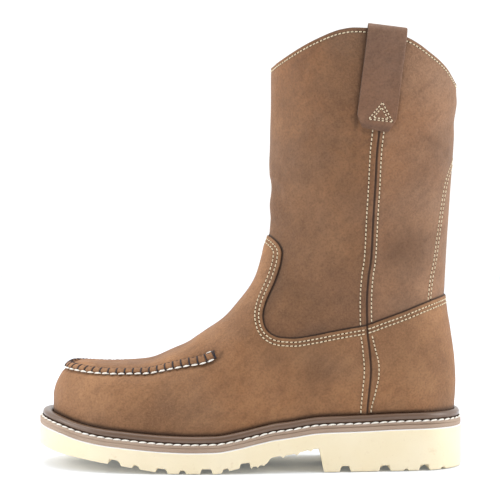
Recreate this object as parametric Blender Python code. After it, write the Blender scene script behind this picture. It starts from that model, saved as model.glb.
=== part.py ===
"""Wellington work boot, left foot, pull-on: moulded lug outsole, midsole, storm welt, hollow leather
upper with vamp and counter steps and a gathered toe seam, insole, two pull loops.
Metres, +Z up, toe toward -X, outer side toward -Y, the sole stands on z = 0."""

import math

import bmesh
import bpy
import numpy as np
from mathutils import Vector
from mathutils.bvhtree import BVHTree

MM = 0.001
SHARP_DEGREES = 35

# Named sizes in millimetres
LENGTH = 306.0
COLLAR_HEIGHT = 311.5
BALL_WIDTH = 99.4
HEEL_HEIGHT = 30.0
TOE_CAP_LENGTH = 75.0
TOE_CAP_ROUNDNESS = 2.3

# Leather and gaps
GAP = 0.3
SHAFT_WALL = 1.9
LAYER = 1.0
INSOLE_THICKNESS = 5.0
INSOLE_CLEARANCE = 0.8
INSOLE_EDGE_ROUND = 1.0

# Sole unit
SOLE_REACH_SIDE = 6.8
TOE_REACH_LENGTH = 70.0
HEEL_REACH_LENGTH = 40.0
TOP_EDGE_ROUND = 1.7
BOTTOM_EDGE_ROUND = 1.2
MIDSOLE_THICKNESS = 2.4
MIDSOLE_INSET = 0.5
FEATHER_LEVEL = 6.0
LOWEST_LEVEL = 3.2

# Pull loops
LOOP_WIDTH = 27.5
LOOP_THICKNESS = 2.0
LOOP_PLACE = 0.312        # share of LENGTH, from the middle of the sole
LOOP_LEAN = 0.12
LOOP_RISE = 2.0           # crest above the collar's highest point
LOOP_DROP = 70.5          # outer leg below the collar's highest point
LOOP_INNER_DROP = 49.5
LOOP_STANDOFF = 1.6
LOOP_LIFT_SHARE = 0.4     # share of the outer leg over which it lifts off the shaft
LOOP_CREST = 5.0
LOOP_CORNER = 9.0
LOOP_TIP_SHARE = 0.66

# Upper, one row per section from the toe tip up the fan of the instep to the collar.
# front and back: where the section meets the boot's front line and its sole or back line.
# x as shares of LENGTH, z of COLLAR_HEIGHT, half_width and centre of BALL_WIDTH.
# widest: where along the section it is widest; low, high: roundness of its two ends.
# layer: 1 where the vamp or counter lies over the shaft leather.
SECTION_COLUMNS = (
    "front_x", "front_z", "back_x", "back_z", "half_width", "centre", "widest", "low", "high", "layer",
)
SECTIONS = [
    (-0.467, 0.161, -0.467, 0.063, 0.475, 0.088, 0.4, 4.5, 2.4, 1.0),
    (-0.462, 0.180, -0.462, 0.061, 0.475, 0.086, 0.4, 4.5, 2.5, 1.0),
    (-0.445, 0.213, -0.445, 0.056, 0.475, 0.082, 0.4, 4.5, 2.7, 1.0),
    (-0.424, 0.232, -0.424, 0.050, 0.478, 0.076, 0.4, 4.5, 3.0, 1.0),
    (-0.392, 0.236, -0.392, 0.043, 0.484, 0.068, 0.39, 4.5, 3.0, 1.0),
    (-0.330, 0.233, -0.330, 0.036, 0.494, 0.047, 0.38, 4.5, 3.2, 1.0),
    (-0.248, 0.238, -0.248, 0.028, 0.500, 0.030, 0.36, 4.5, 3.1, 1.0),
    (-0.177, 0.266, -0.165, 0.023, 0.499, 0.012, 0.33, 4.5, 2.9, 1.0),
    (-0.106, 0.307, -0.072, 0.023, 0.478, -0.014, 0.29, 4.4, 2.5, 1.0),
    (-0.035, 0.370, 0.039, 0.046, 0.425, -0.034, 0.27, 4.2, 2.3, 1.0),
    (0.012, 0.435, 0.180, 0.064, 0.385, -0.026, 0.33, 4.1, 2.15, 1.0),
    (0.033, 0.505, 0.343, 0.069, 0.380, -0.006, 0.39, 3.6, 2.1, 0.9),
    (0.043, 0.538, 0.451, 0.071, 0.390, 0.006, 0.43, 2.8, 2.1, 0.75),
    (0.046, 0.555, 0.477, 0.079, 0.396, 0.006, 0.46, 2.3, 2.1, 0.6),
    (0.048, 0.575, 0.481, 0.135, 0.405, 0.006, 0.48, 2.2, 2.1, 0.5),
    (0.048, 0.594, 0.484, 0.187, 0.415, 0.005, 0.5, 2.2, 2.1, 0.4),
    (0.047, 0.629, 0.481, 0.241, 0.428, 0.004, 0.5, 2.2, 2.1, 0.3),
    (0.047, 0.668, 0.470, 0.315, 0.440, 0.003, 0.5, 2.2, 2.15, 0.15),
    (0.047, 0.706, 0.458, 0.392, 0.450, 0.002, 0.5, 2.2, 2.2, 0.0),
    (0.047, 0.757, 0.461, 0.472, 0.468, 0.000, 0.5, 2.2, 2.2, 0.0),
    (0.049, 0.841, 0.469, 0.610, 0.508, 0.000, 0.5, 2.25, 2.25, 0.0),
    (0.049, 0.931, 0.479, 0.764, 0.543, 0.000, 0.5, 2.3, 2.3, 0.0),
    (0.050, 1.075, 0.489, 1.027, 0.578, 0.000, 0.5, 2.3, 2.3, 0.0),
]

# Sole levels: x as shares of LENGTH, outsole top and bottom as shares of HEEL_HEIGHT
SOLE_LEVELS = [
    (-0.500, 1.000, 0.500),
    (-0.474, 0.940, 0.440),
    (-0.448, 0.877, 0.383),
    (-0.392, 0.730, 0.300),
    (-0.337, 0.643, 0.220),
    (-0.294, 0.603, 0.163),
    (-0.232, 0.545, 0.063),
    (-0.196, 0.520, 0.0),
    (-0.137, 0.500, 0.0),
    (-0.082, 0.510, 0.0),
    (-0.023, 0.607, 0.123),
    (0.016, 0.700, 0.173),
    (0.037, 0.747, 0.220),
    (0.050, 0.777, 0.363),
    (0.092, 0.830, 0.420),
    (0.158, 0.925, 0.553),
    (0.172, 0.933, 0.0),
    (0.261, 0.957, 0.0),
    (0.346, 0.990, 0.0),
    (0.444, 1.000, 0.0),
    (0.500, 0.990, 0.0),
]

# Where the sole's underside steps sharply, so that its mesh has points just there
STEP_SHARES = (0.037, 0.050, 0.158, 0.172)

# Collar edge seen from the side: x as shares of LENGTH, z of COLLAR_HEIGHT
COLLAR = [
    (-0.020, 0.914), (0.046, 0.915), (0.063, 0.926), (0.093, 0.945), (0.115, 0.958), (0.138, 0.970),
    (0.160, 0.980), (0.182, 0.989), (0.205, 0.996), (0.235, 1.000), (0.268, 0.999), (0.300, 0.994),
    (0.335, 0.986), (0.362, 0.977), (0.388, 0.963), (0.411, 0.947), (0.436, 0.929), (0.456, 0.910),
    (0.469, 0.893), (0.480, 0.880), (0.530, 0.870),
]

# Upper edge of vamp and counter seen from the side, the same shares
VAMP_EDGE = [
    (-0.100, 0.545), (0.020, 0.538), (0.040, 0.531), (0.057, 0.520), (0.068, 0.508), (0.073, 0.494),
    (0.071, 0.476), (0.064, 0.451), (0.053, 0.423), (0.041, 0.398), (0.032, 0.375), (0.028, 0.352),
    (0.032, 0.330), (0.046, 0.312), (0.068, 0.303), (0.100, 0.301), (0.145, 0.307), (0.192, 0.316),
    (0.240, 0.325), (0.268, 0.331), (0.310, 0.346), (0.352, 0.361), (0.395, 0.377), (0.440, 0.390),
    (0.550, 0.407),
]

# Side seam, middle line seen from the side, the same shares
SIDE_SEAM = [
    (0.268, 0.290), (0.267, 0.386), (0.270, 0.441), (0.276, 0.485), (0.280, 0.578), (0.284, 0.650),
    (0.287, 0.721), (0.292, 0.771), (0.300, 0.889), (0.312, 1.017),
]
SEAM_WIDTH = 8.0
FLAT_AREA_SHARES = (-0.7, 0.7)

# Gathered toe seam seen from above: x as shares of LENGTH, distance from the centre as share of BALL_WIDTH
TOE_SEAM = [
    (-0.430, 0.0), (-0.425, 0.100), (-0.412, 0.180), (-0.388, 0.240), (-0.354, 0.283), (-0.312, 0.310),
    (-0.262, 0.328), (-0.211, 0.347), (-0.165, 0.364), (-0.122, 0.366), (-0.079, 0.356),
]
TOE_SEAM_HALF_WIDTH = 2.7
TOE_SEAM_HEIGHT = 1.5
TOE_SEAM_END_TAPER = 0.45

# Tread: middle x as share of LENGTH, width, depth; through cuts cross the sole, edge cuts stay at its rim
THROUGH_CUTS = [
    (-0.312, 8.2, 3.6), (-0.203, 7.6, 3.4), (-0.100, 7.8, 3.4), (-0.011, 7.2, 3.2),
    (0.220, 6.8, 4.0), (0.312, 7.2, 4.0), (0.404, 6.6, 4.0),
]
EDGE_CUTS = [
    (-0.262, 4.4, 2.4), (-0.155, 4.2, 2.4), (-0.056, 4.2, 2.4), (0.362, 2.6, 1.4), (0.449, 2.6, 1.4),
]
EDGE_CUT_REACH = 13.0
CUT_SLOPE = 0.7

# Welt profile: distance out from the upper, height above the outsole's top
WELT_PROFILE = [
    (0.8, 3.0), (6.2, 3.0), (6.4, 4.1), (6.1, 4.8), (5.3, 4.9), (5.0, 6.0), (4.5, 6.3),
    (4.9, 7.4), (4.7, 9.3), (3.6, 10.7), (2.1, 11.1), (1.1, 10.4), (0.8, 8.9),
]

# Mesh densities
SECTION_STEP_COUNT = 2
AROUND_COUNT = 34
CAVITY_SECTION_COUNT = 36
CAVITY_AROUND_COUNT = 28
STATION_COUNT = 44
WELT_POINT_COUNT = 78
CURVE_POINT_COUNT = 49
OUTLINE_SECTION_COUNT = 221
OUTLINE_AROUND_COUNT = 128
OUTLINE_POINT_COUNT = 400
FLOOR_POINT_COUNT = 80
COLLAR_POINT_COUNT = 40
RIDGE_STEP_COUNT = 44
LOOP_ACROSS_COUNT = 5
LOOP_OUTER_COUNT = 9
LOOP_INNER_COUNT = 6
LOOP_CREST_COUNT = 9
RIDGE_CORNER_COUNT = 8
STATION_CLEARANCE = 1.5
SECTION_COUNT = (len(SECTIONS) - 1) * SECTION_STEP_COUNT + 1


# Curves

def smooth_through(at, rows_at, rows_value):
    """Values at the places asked, on a smooth curve through the rows that never swings past them."""
    x = np.asarray(rows_at, float)
    y = np.asarray(rows_value, float)
    step = np.diff(x)
    rise = np.diff(y) / step
    slope = np.zeros(len(x))
    same = rise[1:] * rise[:-1] > 0
    w1 = 2 * step[1:] + step[:-1]
    w2 = step[1:] + 2 * step[:-1]
    safe_a = np.where(same, rise[:-1], 1.0)
    safe_b = np.where(same, rise[1:], 1.0)
    slope[1:-1] = np.where(same, (w1 + w2) / (w1 / safe_a + w2 / safe_b), 0.0)
    slope[0], slope[-1] = rise[0], rise[-1]
    at = np.clip(np.asarray(at, float), x[0], x[-1])
    i = np.clip(np.searchsorted(x, at, side="right") - 1, 0, len(step) - 1)
    t = (at - x[i]) / step[i]
    h = step[i]
    return (
        y[i] * (1 + 2 * t) * (1 - t) ** 2 + h * slope[i] * t * (1 - t) ** 2
        + y[i + 1] * t * t * (3 - 2 * t) + h * slope[i + 1] * t * t * (t - 1)
    )


def resample(points, count, closed=False):
    """The polyline with its points evenly spaced along it."""
    points = np.asarray(points, float)
    if closed:
        points = np.vstack([points, points[:1]])
    along = np.concatenate([[0.0], np.cumsum(np.linalg.norm(np.diff(points, axis=0), axis=1))])
    wanted = np.linspace(0.0, along[-1], count + 1 if closed else count)
    if closed:
        wanted = wanted[:-1]
    return np.column_stack([np.interp(wanted, along, points[:, k]) for k in range(points.shape[1])])


def from_shares(rows):
    return [(x * LENGTH, z * COLLAR_HEIGHT) for x, z in rows]


SOLE_X = [row[0] * LENGTH for row in SOLE_LEVELS]


def outsole_top(x):
    return smooth_through(x, SOLE_X, [row[1] * HEEL_HEIGHT for row in SOLE_LEVELS])


def outsole_bottom(x):
    return smooth_through(x, SOLE_X, [row[2] * HEEL_HEIGHT for row in SOLE_LEVELS])


# The upper's surface

def section_values(count):
    """Each column of the section table at evenly spaced places along it, in millimetres."""
    rows = np.array(SECTIONS)
    places = np.linspace(0, len(rows) - 1, count)
    table = {
        name: smooth_through(places, range(len(rows)), rows[:, k]) for k, name in enumerate(SECTION_COLUMNS)
    }
    for name in ("front_x", "back_x"):
        table[name] = table[name] * LENGTH
    for name in ("front_z", "back_z"):
        table[name] = table[name] * COLLAR_HEIGHT
    for name in ("half_width", "centre"):
        table[name] = table[name] * BALL_WIDTH
    return table


def upper_grid(sections, around, offset):
    """Points of the upper, [section, place around, xyz], moved out along the surface by offset.
    Place 0 is at the sole or back line; the first half runs up the outer side to the front line."""
    table = section_values(sections)
    angles = np.linspace(0, math.pi, CURVE_POINT_COUNT)
    rings = []
    for k in range(sections):
        back = np.array([table["back_x"][k], table["back_z"][k]])
        front = np.array([table["front_x"][k], table["front_z"][k]])
        toe_distance = max(0.0, (back[0] + front[0]) / 2 - SECTIONS[0][0] * LENGTH)
        left = max(0.0, 1 - toe_distance / TOE_CAP_LENGTH)
        cap = (1 - left**TOE_CAP_ROUNDNESS) ** (1 / TOE_CAP_ROUNDNESS)
        widest = table["widest"][k]
        half = []
        for angle in angles:
            low_end = angle < math.pi / 2
            power = 2 / (table["low"][k] if low_end else table["high"][k])
            reach = abs(math.cos(angle)) ** power
            wide = abs(math.sin(angle)) ** power * table["half_width"][k] * cap
            along = widest - reach * widest if low_end else widest + reach * (1 - widest)
            x, z = back + (front - back) * along
            half.append((x, wide, z))
        outer = [(x, table["centre"][k] - wide, z) for x, wide, z in half]
        inner = [(x, table["centre"][k] + wide, z) for x, wide, z in reversed(half[1:-1])]
        rings.append(resample(outer + inner, around, closed=True))
    grid = np.array(rings)
    along_boot = np.gradient(grid, axis=0)
    round_boot = (np.roll(grid, -1, axis=1) - np.roll(grid, 1, axis=1)) / 2
    normal = np.cross(round_boot, along_boot)
    normal /= np.maximum(np.linalg.norm(normal, axis=2, keepdims=True), 1e-9)
    normal[0] = (-1.0, 0.0, 0.0)
    outward = normal[sections // 2, around // 4, 1] < 0
    if not outward:
        normal[1:] = -normal[1:]
    distance = offset - LAYER * table["layer"]
    return grid + normal * distance[:, None, None]


def grid_faces(sections, around):
    faces = []
    for k in range(sections - 1):
        low, high = k * around, (k + 1) * around
        for j in range(around):
            following = (j + 1) % around
            faces.append((low + j, high + j, high + following, low + following))
    return faces


def outline_at(level, offset, sections=OUTLINE_SECTION_COUNT, around=OUTLINE_AROUND_COUNT):
    """Plan outline of the upper at a height above the outsole's top: (outer side, inner side) lines
    from toe tip to heel tip."""
    grid = upper_grid(sections, around, offset)
    sides = []
    for places in (range(0, around // 2 + 1), [0] + list(range(around - 1, around // 2 - 1, -1))):
        line = []
        for ring in grid:
            points = ring[list(places)]
            over = points[:, 2] - outsole_top(points[:, 0]) - level
            if over[0] >= 0:
                continue
            j = int(np.argmax(over > 0))
            share = over[j - 1] / (over[j - 1] - over[j])
            line.append((points[j - 1] + (points[j] - points[j - 1]) * share)[:2])
        sides.append(np.array(line))
    keel = grid[:, 0]
    over = keel[:, 2] - outsole_top(keel[:, 0]) - level
    k = int(np.argmax(over > 0))
    heel = keel[k - 1] + (keel[k] - keel[k - 1]) * over[k - 1] / (over[k - 1] - over[k])
    return [np.vstack([side, heel[:2]]) for side in sides]


def closed_outline(sides, count):
    """One loop, from the toe tip along the outer side and back along the inner side."""
    loop = np.vstack([sides[0], sides[1][-2:0:-1]])
    return resample(loop, count, closed=True)


def outward_normals(loop):
    ahead = np.roll(loop, -1, axis=0) - np.roll(loop, 1, axis=0)
    normal = np.column_stack([ahead[:, 1], -ahead[:, 0]])
    normal /= np.linalg.norm(normal, axis=1, keepdims=True)
    centre = loop.mean(axis=0)
    return normal if np.sum(normal * (loop - centre)) > 0 else -normal


def offset_loop(loop, reach):
    return loop + outward_normals(loop) * np.asarray(reach)[..., None]


def side_lines(loop, stations):
    """The loop's outer and inner y at each station along x."""
    toe, heel = int(np.argmin(loop[:, 0])), int(np.argmax(loop[:, 0]))
    turned = np.roll(loop, -toe, axis=0)
    heel = (heel - toe) % len(loop)
    first, second = turned[: heel + 1], np.vstack([turned[heel:], turned[:1]])[::-1]
    lines = []
    for line in (first, second):
        order = np.argsort(line[:, 0])
        lines.append(np.interp(stations, line[order, 0], line[order, 1]))
    return (lines[0], lines[1]) if lines[0].mean() < lines[1].mean() else (lines[1], lines[0])


def stations_over(loop, extra=()):
    """Places along x, close together at the round ends."""
    low, high = loop[:, 0].min(), loop[:, 0].max()
    turn = np.linspace(0, math.pi, STATION_COUNT)
    places = (low + high) / 2 - np.cos(turn) * (high - low) / 2
    places = places[[all(abs(place - one) > STATION_CLEARANCE for one in extra) for place in places]]
    return np.sort(np.concatenate([places, extra]))


# Meshes and objects

def start_clean():
    for obj in list(bpy.data.objects):
        bpy.data.objects.remove(obj, do_unlink=True)


def collection_named(name):
    made = bpy.data.collections.new(name)
    bpy.context.scene.collection.children.link(made)
    return made


def mesh_object(name, points, faces, collection):
    """One closed mesh from millimetre points, with its normals made to face out."""
    mesh = bpy.data.meshes.new(name)
    mesh.from_pydata([tuple(float(v) * MM for v in point) for point in points], [], faces)
    work = bmesh.new()
    work.from_mesh(mesh)
    bmesh.ops.remove_doubles(work, verts=work.verts, dist=1e-6)
    bmesh.ops.dissolve_degenerate(work, edges=work.edges, dist=1e-6)
    bmesh.ops.recalc_face_normals(work, faces=work.faces)
    work.to_mesh(mesh)
    work.free()
    obj = bpy.data.objects.new(name, mesh)
    collection.objects.link(obj)
    return obj


def hide_cutter(obj):
    obj.hide_render = True
    obj.display_type = "WIRE"
    return obj


def form_from_grid(name, grid, collection):
    """A closed form from the upper's grid: the toe end closes on itself, the top gets a flat lid."""
    sections, around = grid.shape[:2]
    faces = grid_faces(sections, around)
    faces.append([(sections - 1) * around + j for j in range(around)])
    return mesh_object(name, grid.reshape(-1, 3), faces, collection)


def prism_across(name, outline, collection):
    """A closed form with this outline in x and z, running straight across the boot."""
    count = len(outline)
    points = [(x, side * BALL_WIDTH, z) for side in (-1, 1) for x, z in outline]
    faces = [[k, (k + 1) % count, count + (k + 1) % count, count + k] for k in range(count)]
    faces += [list(range(count)), list(range(count, 2 * count))]
    return hide_cutter(mesh_object(name, points, faces, collection))


def combine(obj, operation, other):
    """A Boolean of obj with other, worked out at once."""
    modifier = obj.modifiers.new(operation.title(), "BOOLEAN")
    modifier.operation = operation
    modifier.solver = "EXACT"
    modifier.object = other
    bpy.context.view_layer.update()
    result = bpy.data.meshes.new_from_object(obj.evaluated_get(bpy.context.evaluated_depsgraph_get()))
    obj.modifiers.clear()
    old = obj.data
    obj.data = result
    bpy.data.meshes.remove(old)
    return obj


def finish(obj, material):
    work = bmesh.new()
    work.from_mesh(obj.data)
    bmesh.ops.triangulate(work, faces=work.faces)
    work.to_mesh(obj.data)
    work.free()
    obj.data.materials.clear()
    obj.data.materials.append(material)
    for face in obj.data.polygons:
        face.use_smooth = True
        face.material_index = 0
    obj.data.set_sharp_from_angle(angle=math.radians(SHARP_DEGREES))


def plain_material(name, colour, roughness):
    material = bpy.data.materials.new(name)
    material.use_nodes = True
    shader = material.node_tree.nodes["Principled BSDF"]
    shader.inputs["Base Color"].default_value = (*colour, 1.0)
    shader.inputs["Roughness"].default_value = roughness
    material.diffuse_color = (*colour, 1.0)
    return material


# Sole pieces

def stacked_slab(name, loops, heights, collection, extra=()):
    """A closed slab from outlines stacked upward, widest one second. Each height is a function of x,
    so that every level is straight across the boot."""
    widest = max(loops, key=lambda loop: np.ptp(loop[:, 0]))
    places = stations_over(widest, extra)
    count = len(places)
    shares = (places - places[0]) / (places[-1] - places[0])
    points = []
    for loop, height in zip(loops, heights):
        x = loop[:, 0].min() + shares * np.ptp(loop[:, 0])
        outer, inner = side_lines(loop, x)
        for y in (outer, inner):
            points += list(zip(x, y, height(x)))
    ring = [*range(count), *range(2 * count - 2, count, -1)]
    faces = []
    for level in range(len(loops) - 1):
        low, high = level * 2 * count, (level + 1) * 2 * count
        for here, there in zip(ring, ring[1:] + ring[:1]):
            faces.append([low + here, low + there, high + there, high + here])
    for level in (0, len(loops) - 1):
        low = level * 2 * count
        faces.append([low, low + 1, low + count + 1])
        faces.append([low + count - 2, low + count - 1, low + 2 * count - 2])
        for k in range(1, count - 2):
            faces.append([low + k, low + k + 1, low + count + k + 1, low + count + k])
    return mesh_object(name, points, faces, collection)


def sole_reach(loop):
    """How far the sole stands out from the upper: more at the toe, and to the full length at both ends."""
    x = loop[:, 0]
    toe, heel = x.min(), x.max()
    toe_reach = toe + LENGTH / 2
    heel_reach = LENGTH / 2 - heel
    at_toe = np.clip(1 - (x - toe) / TOE_REACH_LENGTH, 0, 1) ** 1.5
    at_heel = np.clip(1 - (heel - x) / HEEL_REACH_LENGTH, 0, 1) ** 1.5
    more_at_toe = (toe_reach - SOLE_REACH_SIDE) * at_toe
    more_at_heel = (heel_reach - SOLE_REACH_SIDE) * at_heel
    return SOLE_REACH_SIDE + more_at_toe + more_at_heel


def tread_cutters(loop, collection):
    """All the tread's cuts as one form: wedges with sloping sides, open at the bottom."""
    points, faces = [], []

    def wedge(x, width, depth, y_low, y_high):
        floor = float(outsole_bottom(x))
        wide, narrow = width / 2 + CUT_SLOPE, width / 2 - CUT_SLOPE
        below = floor - depth
        above = floor + depth
        outline = [(x - wide, below), (x + wide, below), (x + narrow, above), (x - narrow, above)]
        first = len(points)
        points.extend((px, y, pz) for y in (y_low, y_high) for px, pz in outline)
        for k in range(4):
            following = (k + 1) % 4
            faces.append([first + k, first + following, first + 4 + following, first + 4 + k])
        faces.append([first + k for k in range(4)])
        faces.append([first + 4 + k for k in range(4)])

    for share, width, depth in THROUGH_CUTS:
        wedge(share * LENGTH, width, depth, -BALL_WIDTH, BALL_WIDTH)
    for share, width, depth in EDGE_CUTS:
        x = share * LENGTH
        outer, inner = side_lines(loop, np.array([x]))
        wedge(x, width, depth, -BALL_WIDTH, float(outer[0]) + EDGE_CUT_REACH)
        wedge(x, width, depth, float(inner[0]) - EDGE_CUT_REACH, BALL_WIDTH)
    return hide_cutter(mesh_object("tread_cuts", points, faces, collection))


def make_outsole(feather, collection, cutters):
    reach = sole_reach(feather)
    full = offset_loop(feather, reach)
    low = offset_loop(feather, reach - BOTTOM_EDGE_ROUND)
    high = offset_loop(feather, reach - TOP_EDGE_ROUND)
    obj = stacked_slab(
        "outsole",
        [low, full, full, high],
        [
            outsole_bottom,
            lambda x: outsole_bottom(x) + BOTTOM_EDGE_ROUND,
            lambda x: outsole_top(x) - TOP_EDGE_ROUND,
            outsole_top,
        ],
        collection,
        extra=[share * LENGTH for share in STEP_SHARES],
    )
    return combine(obj, "DIFFERENCE", tread_cutters(full, cutters))


def make_midsole(feather, collection):
    edge = offset_loop(feather, sole_reach(feather) - MIDSOLE_INSET)
    heights = [lambda x: outsole_top(x) + GAP, lambda x: outsole_top(x) + GAP + MIDSOLE_THICKNESS]
    return stacked_slab("midsole", [edge, edge], heights, collection)


def make_welt(feather, collection):
    """The storm welt as one ring: a flat flange, a stitch groove, and a rolled bead hugging the upper."""
    extra = sole_reach(feather) - SOLE_REACH_SIDE
    ring = np.linspace(0, 1, WELT_POINT_COUNT, endpoint=False)
    wide = np.interp(ring, np.linspace(0, 1, len(extra)), extra)
    nearest, farthest = WELT_PROFILE[0][0], max(distance for distance, _ in WELT_PROFILE)
    points = []
    for distance, height in WELT_PROFILE:
        hug = closed_outline(outline_at(max(height, LOWEST_LEVEL), LAYER), WELT_POINT_COUNT)
        share = (distance - nearest) / (farthest - nearest)
        loop = offset_loop(hug, distance + wide * share)
        points += [(x, y, float(outsole_top(x)) + height) for x, y in loop]
    rows = len(WELT_PROFILE)
    faces = []
    for k in range(rows):
        here, above = k * WELT_POINT_COUNT, (k + 1) % rows * WELT_POINT_COUNT
        for j in range(WELT_POINT_COUNT):
            following = (j + 1) % WELT_POINT_COUNT
            faces.append([here + j, here + following, above + following, above + j])
    return mesh_object("welt", points, faces, collection)


def make_insole(collection):
    inside = -SHAFT_WALL - INSOLE_CLEARANCE
    bottom = GAP * 2 + MIDSOLE_THICKNESS
    loops, heights = [], []
    for share, inset in ((0.0, INSOLE_EDGE_ROUND), (0.5, 0.0), (1.0, 0.0)):
        level = bottom + share * INSOLE_THICKNESS
        sides = outline_at(
            max(level, LOWEST_LEVEL), inside - inset, CAVITY_SECTION_COUNT, CAVITY_AROUND_COUNT
        )
        loops.append(closed_outline(sides, OUTLINE_POINT_COUNT))
        heights.append(lambda x, level=level: outsole_top(x) + level)
    return stacked_slab("insole", loops, heights, collection)


# Upper

def surface_tree(grid):
    sections, around = grid.shape[:2]
    points = [tuple(point) for point in grid.reshape(-1, 3)]
    return BVHTree.FromPolygons(points, grid_faces(sections, around))


def centre_line(x):
    rows = np.array(SECTIONS)[1:10]
    return smooth_through(x, rows[:, 0] * LENGTH, rows[:, 5] * BALL_WIDTH)


def toe_seam_path(tree, count):
    """Points and outward directions of the toe seam on the surface, outer side end to inner side end."""
    rows = np.array(TOE_SEAM)
    half = [(x * LENGTH, -out * BALL_WIDTH) for x, out in rows[::-1]]
    whole = half + [(x, -y) for x, y in half[-2::-1]]
    path = []
    for x, y in resample(whole, count):
        above = Vector((x, float(centre_line(x)) + y, COLLAR_HEIGHT))
        hit, normal, _, _ = tree.ray_cast(above, Vector((0, 0, -1)))
        path.append((np.array(hit), np.array(normal if normal.z > 0 else -normal)))
    return path


def toe_seam_ridge(tree, collection):
    path = toe_seam_path(tree, RIDGE_STEP_COUNT)
    ahead = np.gradient(np.array([place for place, _ in path]), axis=0)
    last = len(path) - 1
    points = []
    for k, (place, up) in enumerate(path):
        along = ahead[k] / np.linalg.norm(ahead[k])
        across = np.cross(along, up)
        across /= np.linalg.norm(across)
        rise = np.cross(across, along)
        taper = TOE_SEAM_END_TAPER if k in (0, last) else 1.0
        for j in range(RIDGE_CORNER_COUNT):
            turn = 2 * math.pi * (j + 0.5) / RIDGE_CORNER_COUNT
            sideways = across * math.cos(turn) * TOE_SEAM_HALF_WIDTH * taper
            upward = rise * math.sin(turn) * TOE_SEAM_HEIGHT * taper
            points.append(place + sideways + upward)
    faces = grid_faces(len(path), RIDGE_CORNER_COUNT)
    faces.append(range(RIDGE_CORNER_COUNT))
    faces.append(range(last * RIDGE_CORNER_COUNT, len(path) * RIDGE_CORNER_COUNT))
    return hide_cutter(mesh_object("toe_seam", points, faces, collection))


def side_band(line, width):
    """Outline of a band of this width along a line seen from the side."""
    line = np.array(line)
    ahead = np.gradient(line, axis=0)
    sideways = np.column_stack([ahead[:, 1], -ahead[:, 0]])
    sideways /= np.linalg.norm(sideways, axis=1, keepdims=True)
    return [*(line + sideways * width / 2), *(line - sideways * width / 2)[::-1]]


def make_upper(collection, cutters):
    under = upper_grid(SECTION_COUNT, AROUND_COUNT, 0.0)
    over = upper_grid(SECTION_COUNT, AROUND_COUNT, LAYER)
    inside = upper_grid(CAVITY_SECTION_COUNT, CAVITY_AROUND_COUNT, -SHAFT_WALL)
    cavity = hide_cutter(form_from_grid("cavity", inside, cutters))
    upper = form_from_grid("upper", under, collection)
    toe_side, heel_side = FLAT_AREA_SHARES
    below_floor = -HEEL_HEIGHT
    vamp_outline = from_shares(VAMP_EDGE) + [
        (heel_side * LENGTH, below_floor), (toe_side * LENGTH, below_floor),
        (toe_side * LENGTH, VAMP_EDGE[0][1] * COLLAR_HEIGHT),
    ]
    seam_outline = side_band(from_shares(SIDE_SEAM), SEAM_WIDTH)
    for name, outline in (("vamp", vamp_outline), ("side_seam", seam_outline)):
        layer = hide_cutter(form_from_grid(name + "_layer", over, cutters))
        combine(layer, "INTERSECT", prism_across(name + "_reach", outline, cutters))
        combine(upper, "UNION", layer)
    combine(upper, "UNION", toe_seam_ridge(surface_tree(over), cutters))
    floor_x = np.linspace(toe_side * LENGTH, heel_side * LENGTH, FLOOR_POINT_COUNT)
    floor = [(x, float(outsole_top(x)) + 2 * GAP + MIDSOLE_THICKNESS) for x in floor_x]
    rim = from_shares(COLLAR)
    collar_x = np.linspace(rim[0][0], rim[-1][0], COLLAR_POINT_COUNT)
    collar_z = smooth_through(collar_x, [x for x, _ in rim], [z for _, z in rim])
    collar = list(zip(collar_x, collar_z))
    left_edge = (floor_x[0], collar_z[0])
    right_edge = (floor_x[-1], collar_z[-1])
    trim_outline = floor + [right_edge] + collar[::-1] + [left_edge]
    combine(upper, "INTERSECT", prism_across("trim", trim_outline, cutters))
    return combine(upper, "DIFFERENCE", cavity)


# Pull loops

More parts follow.
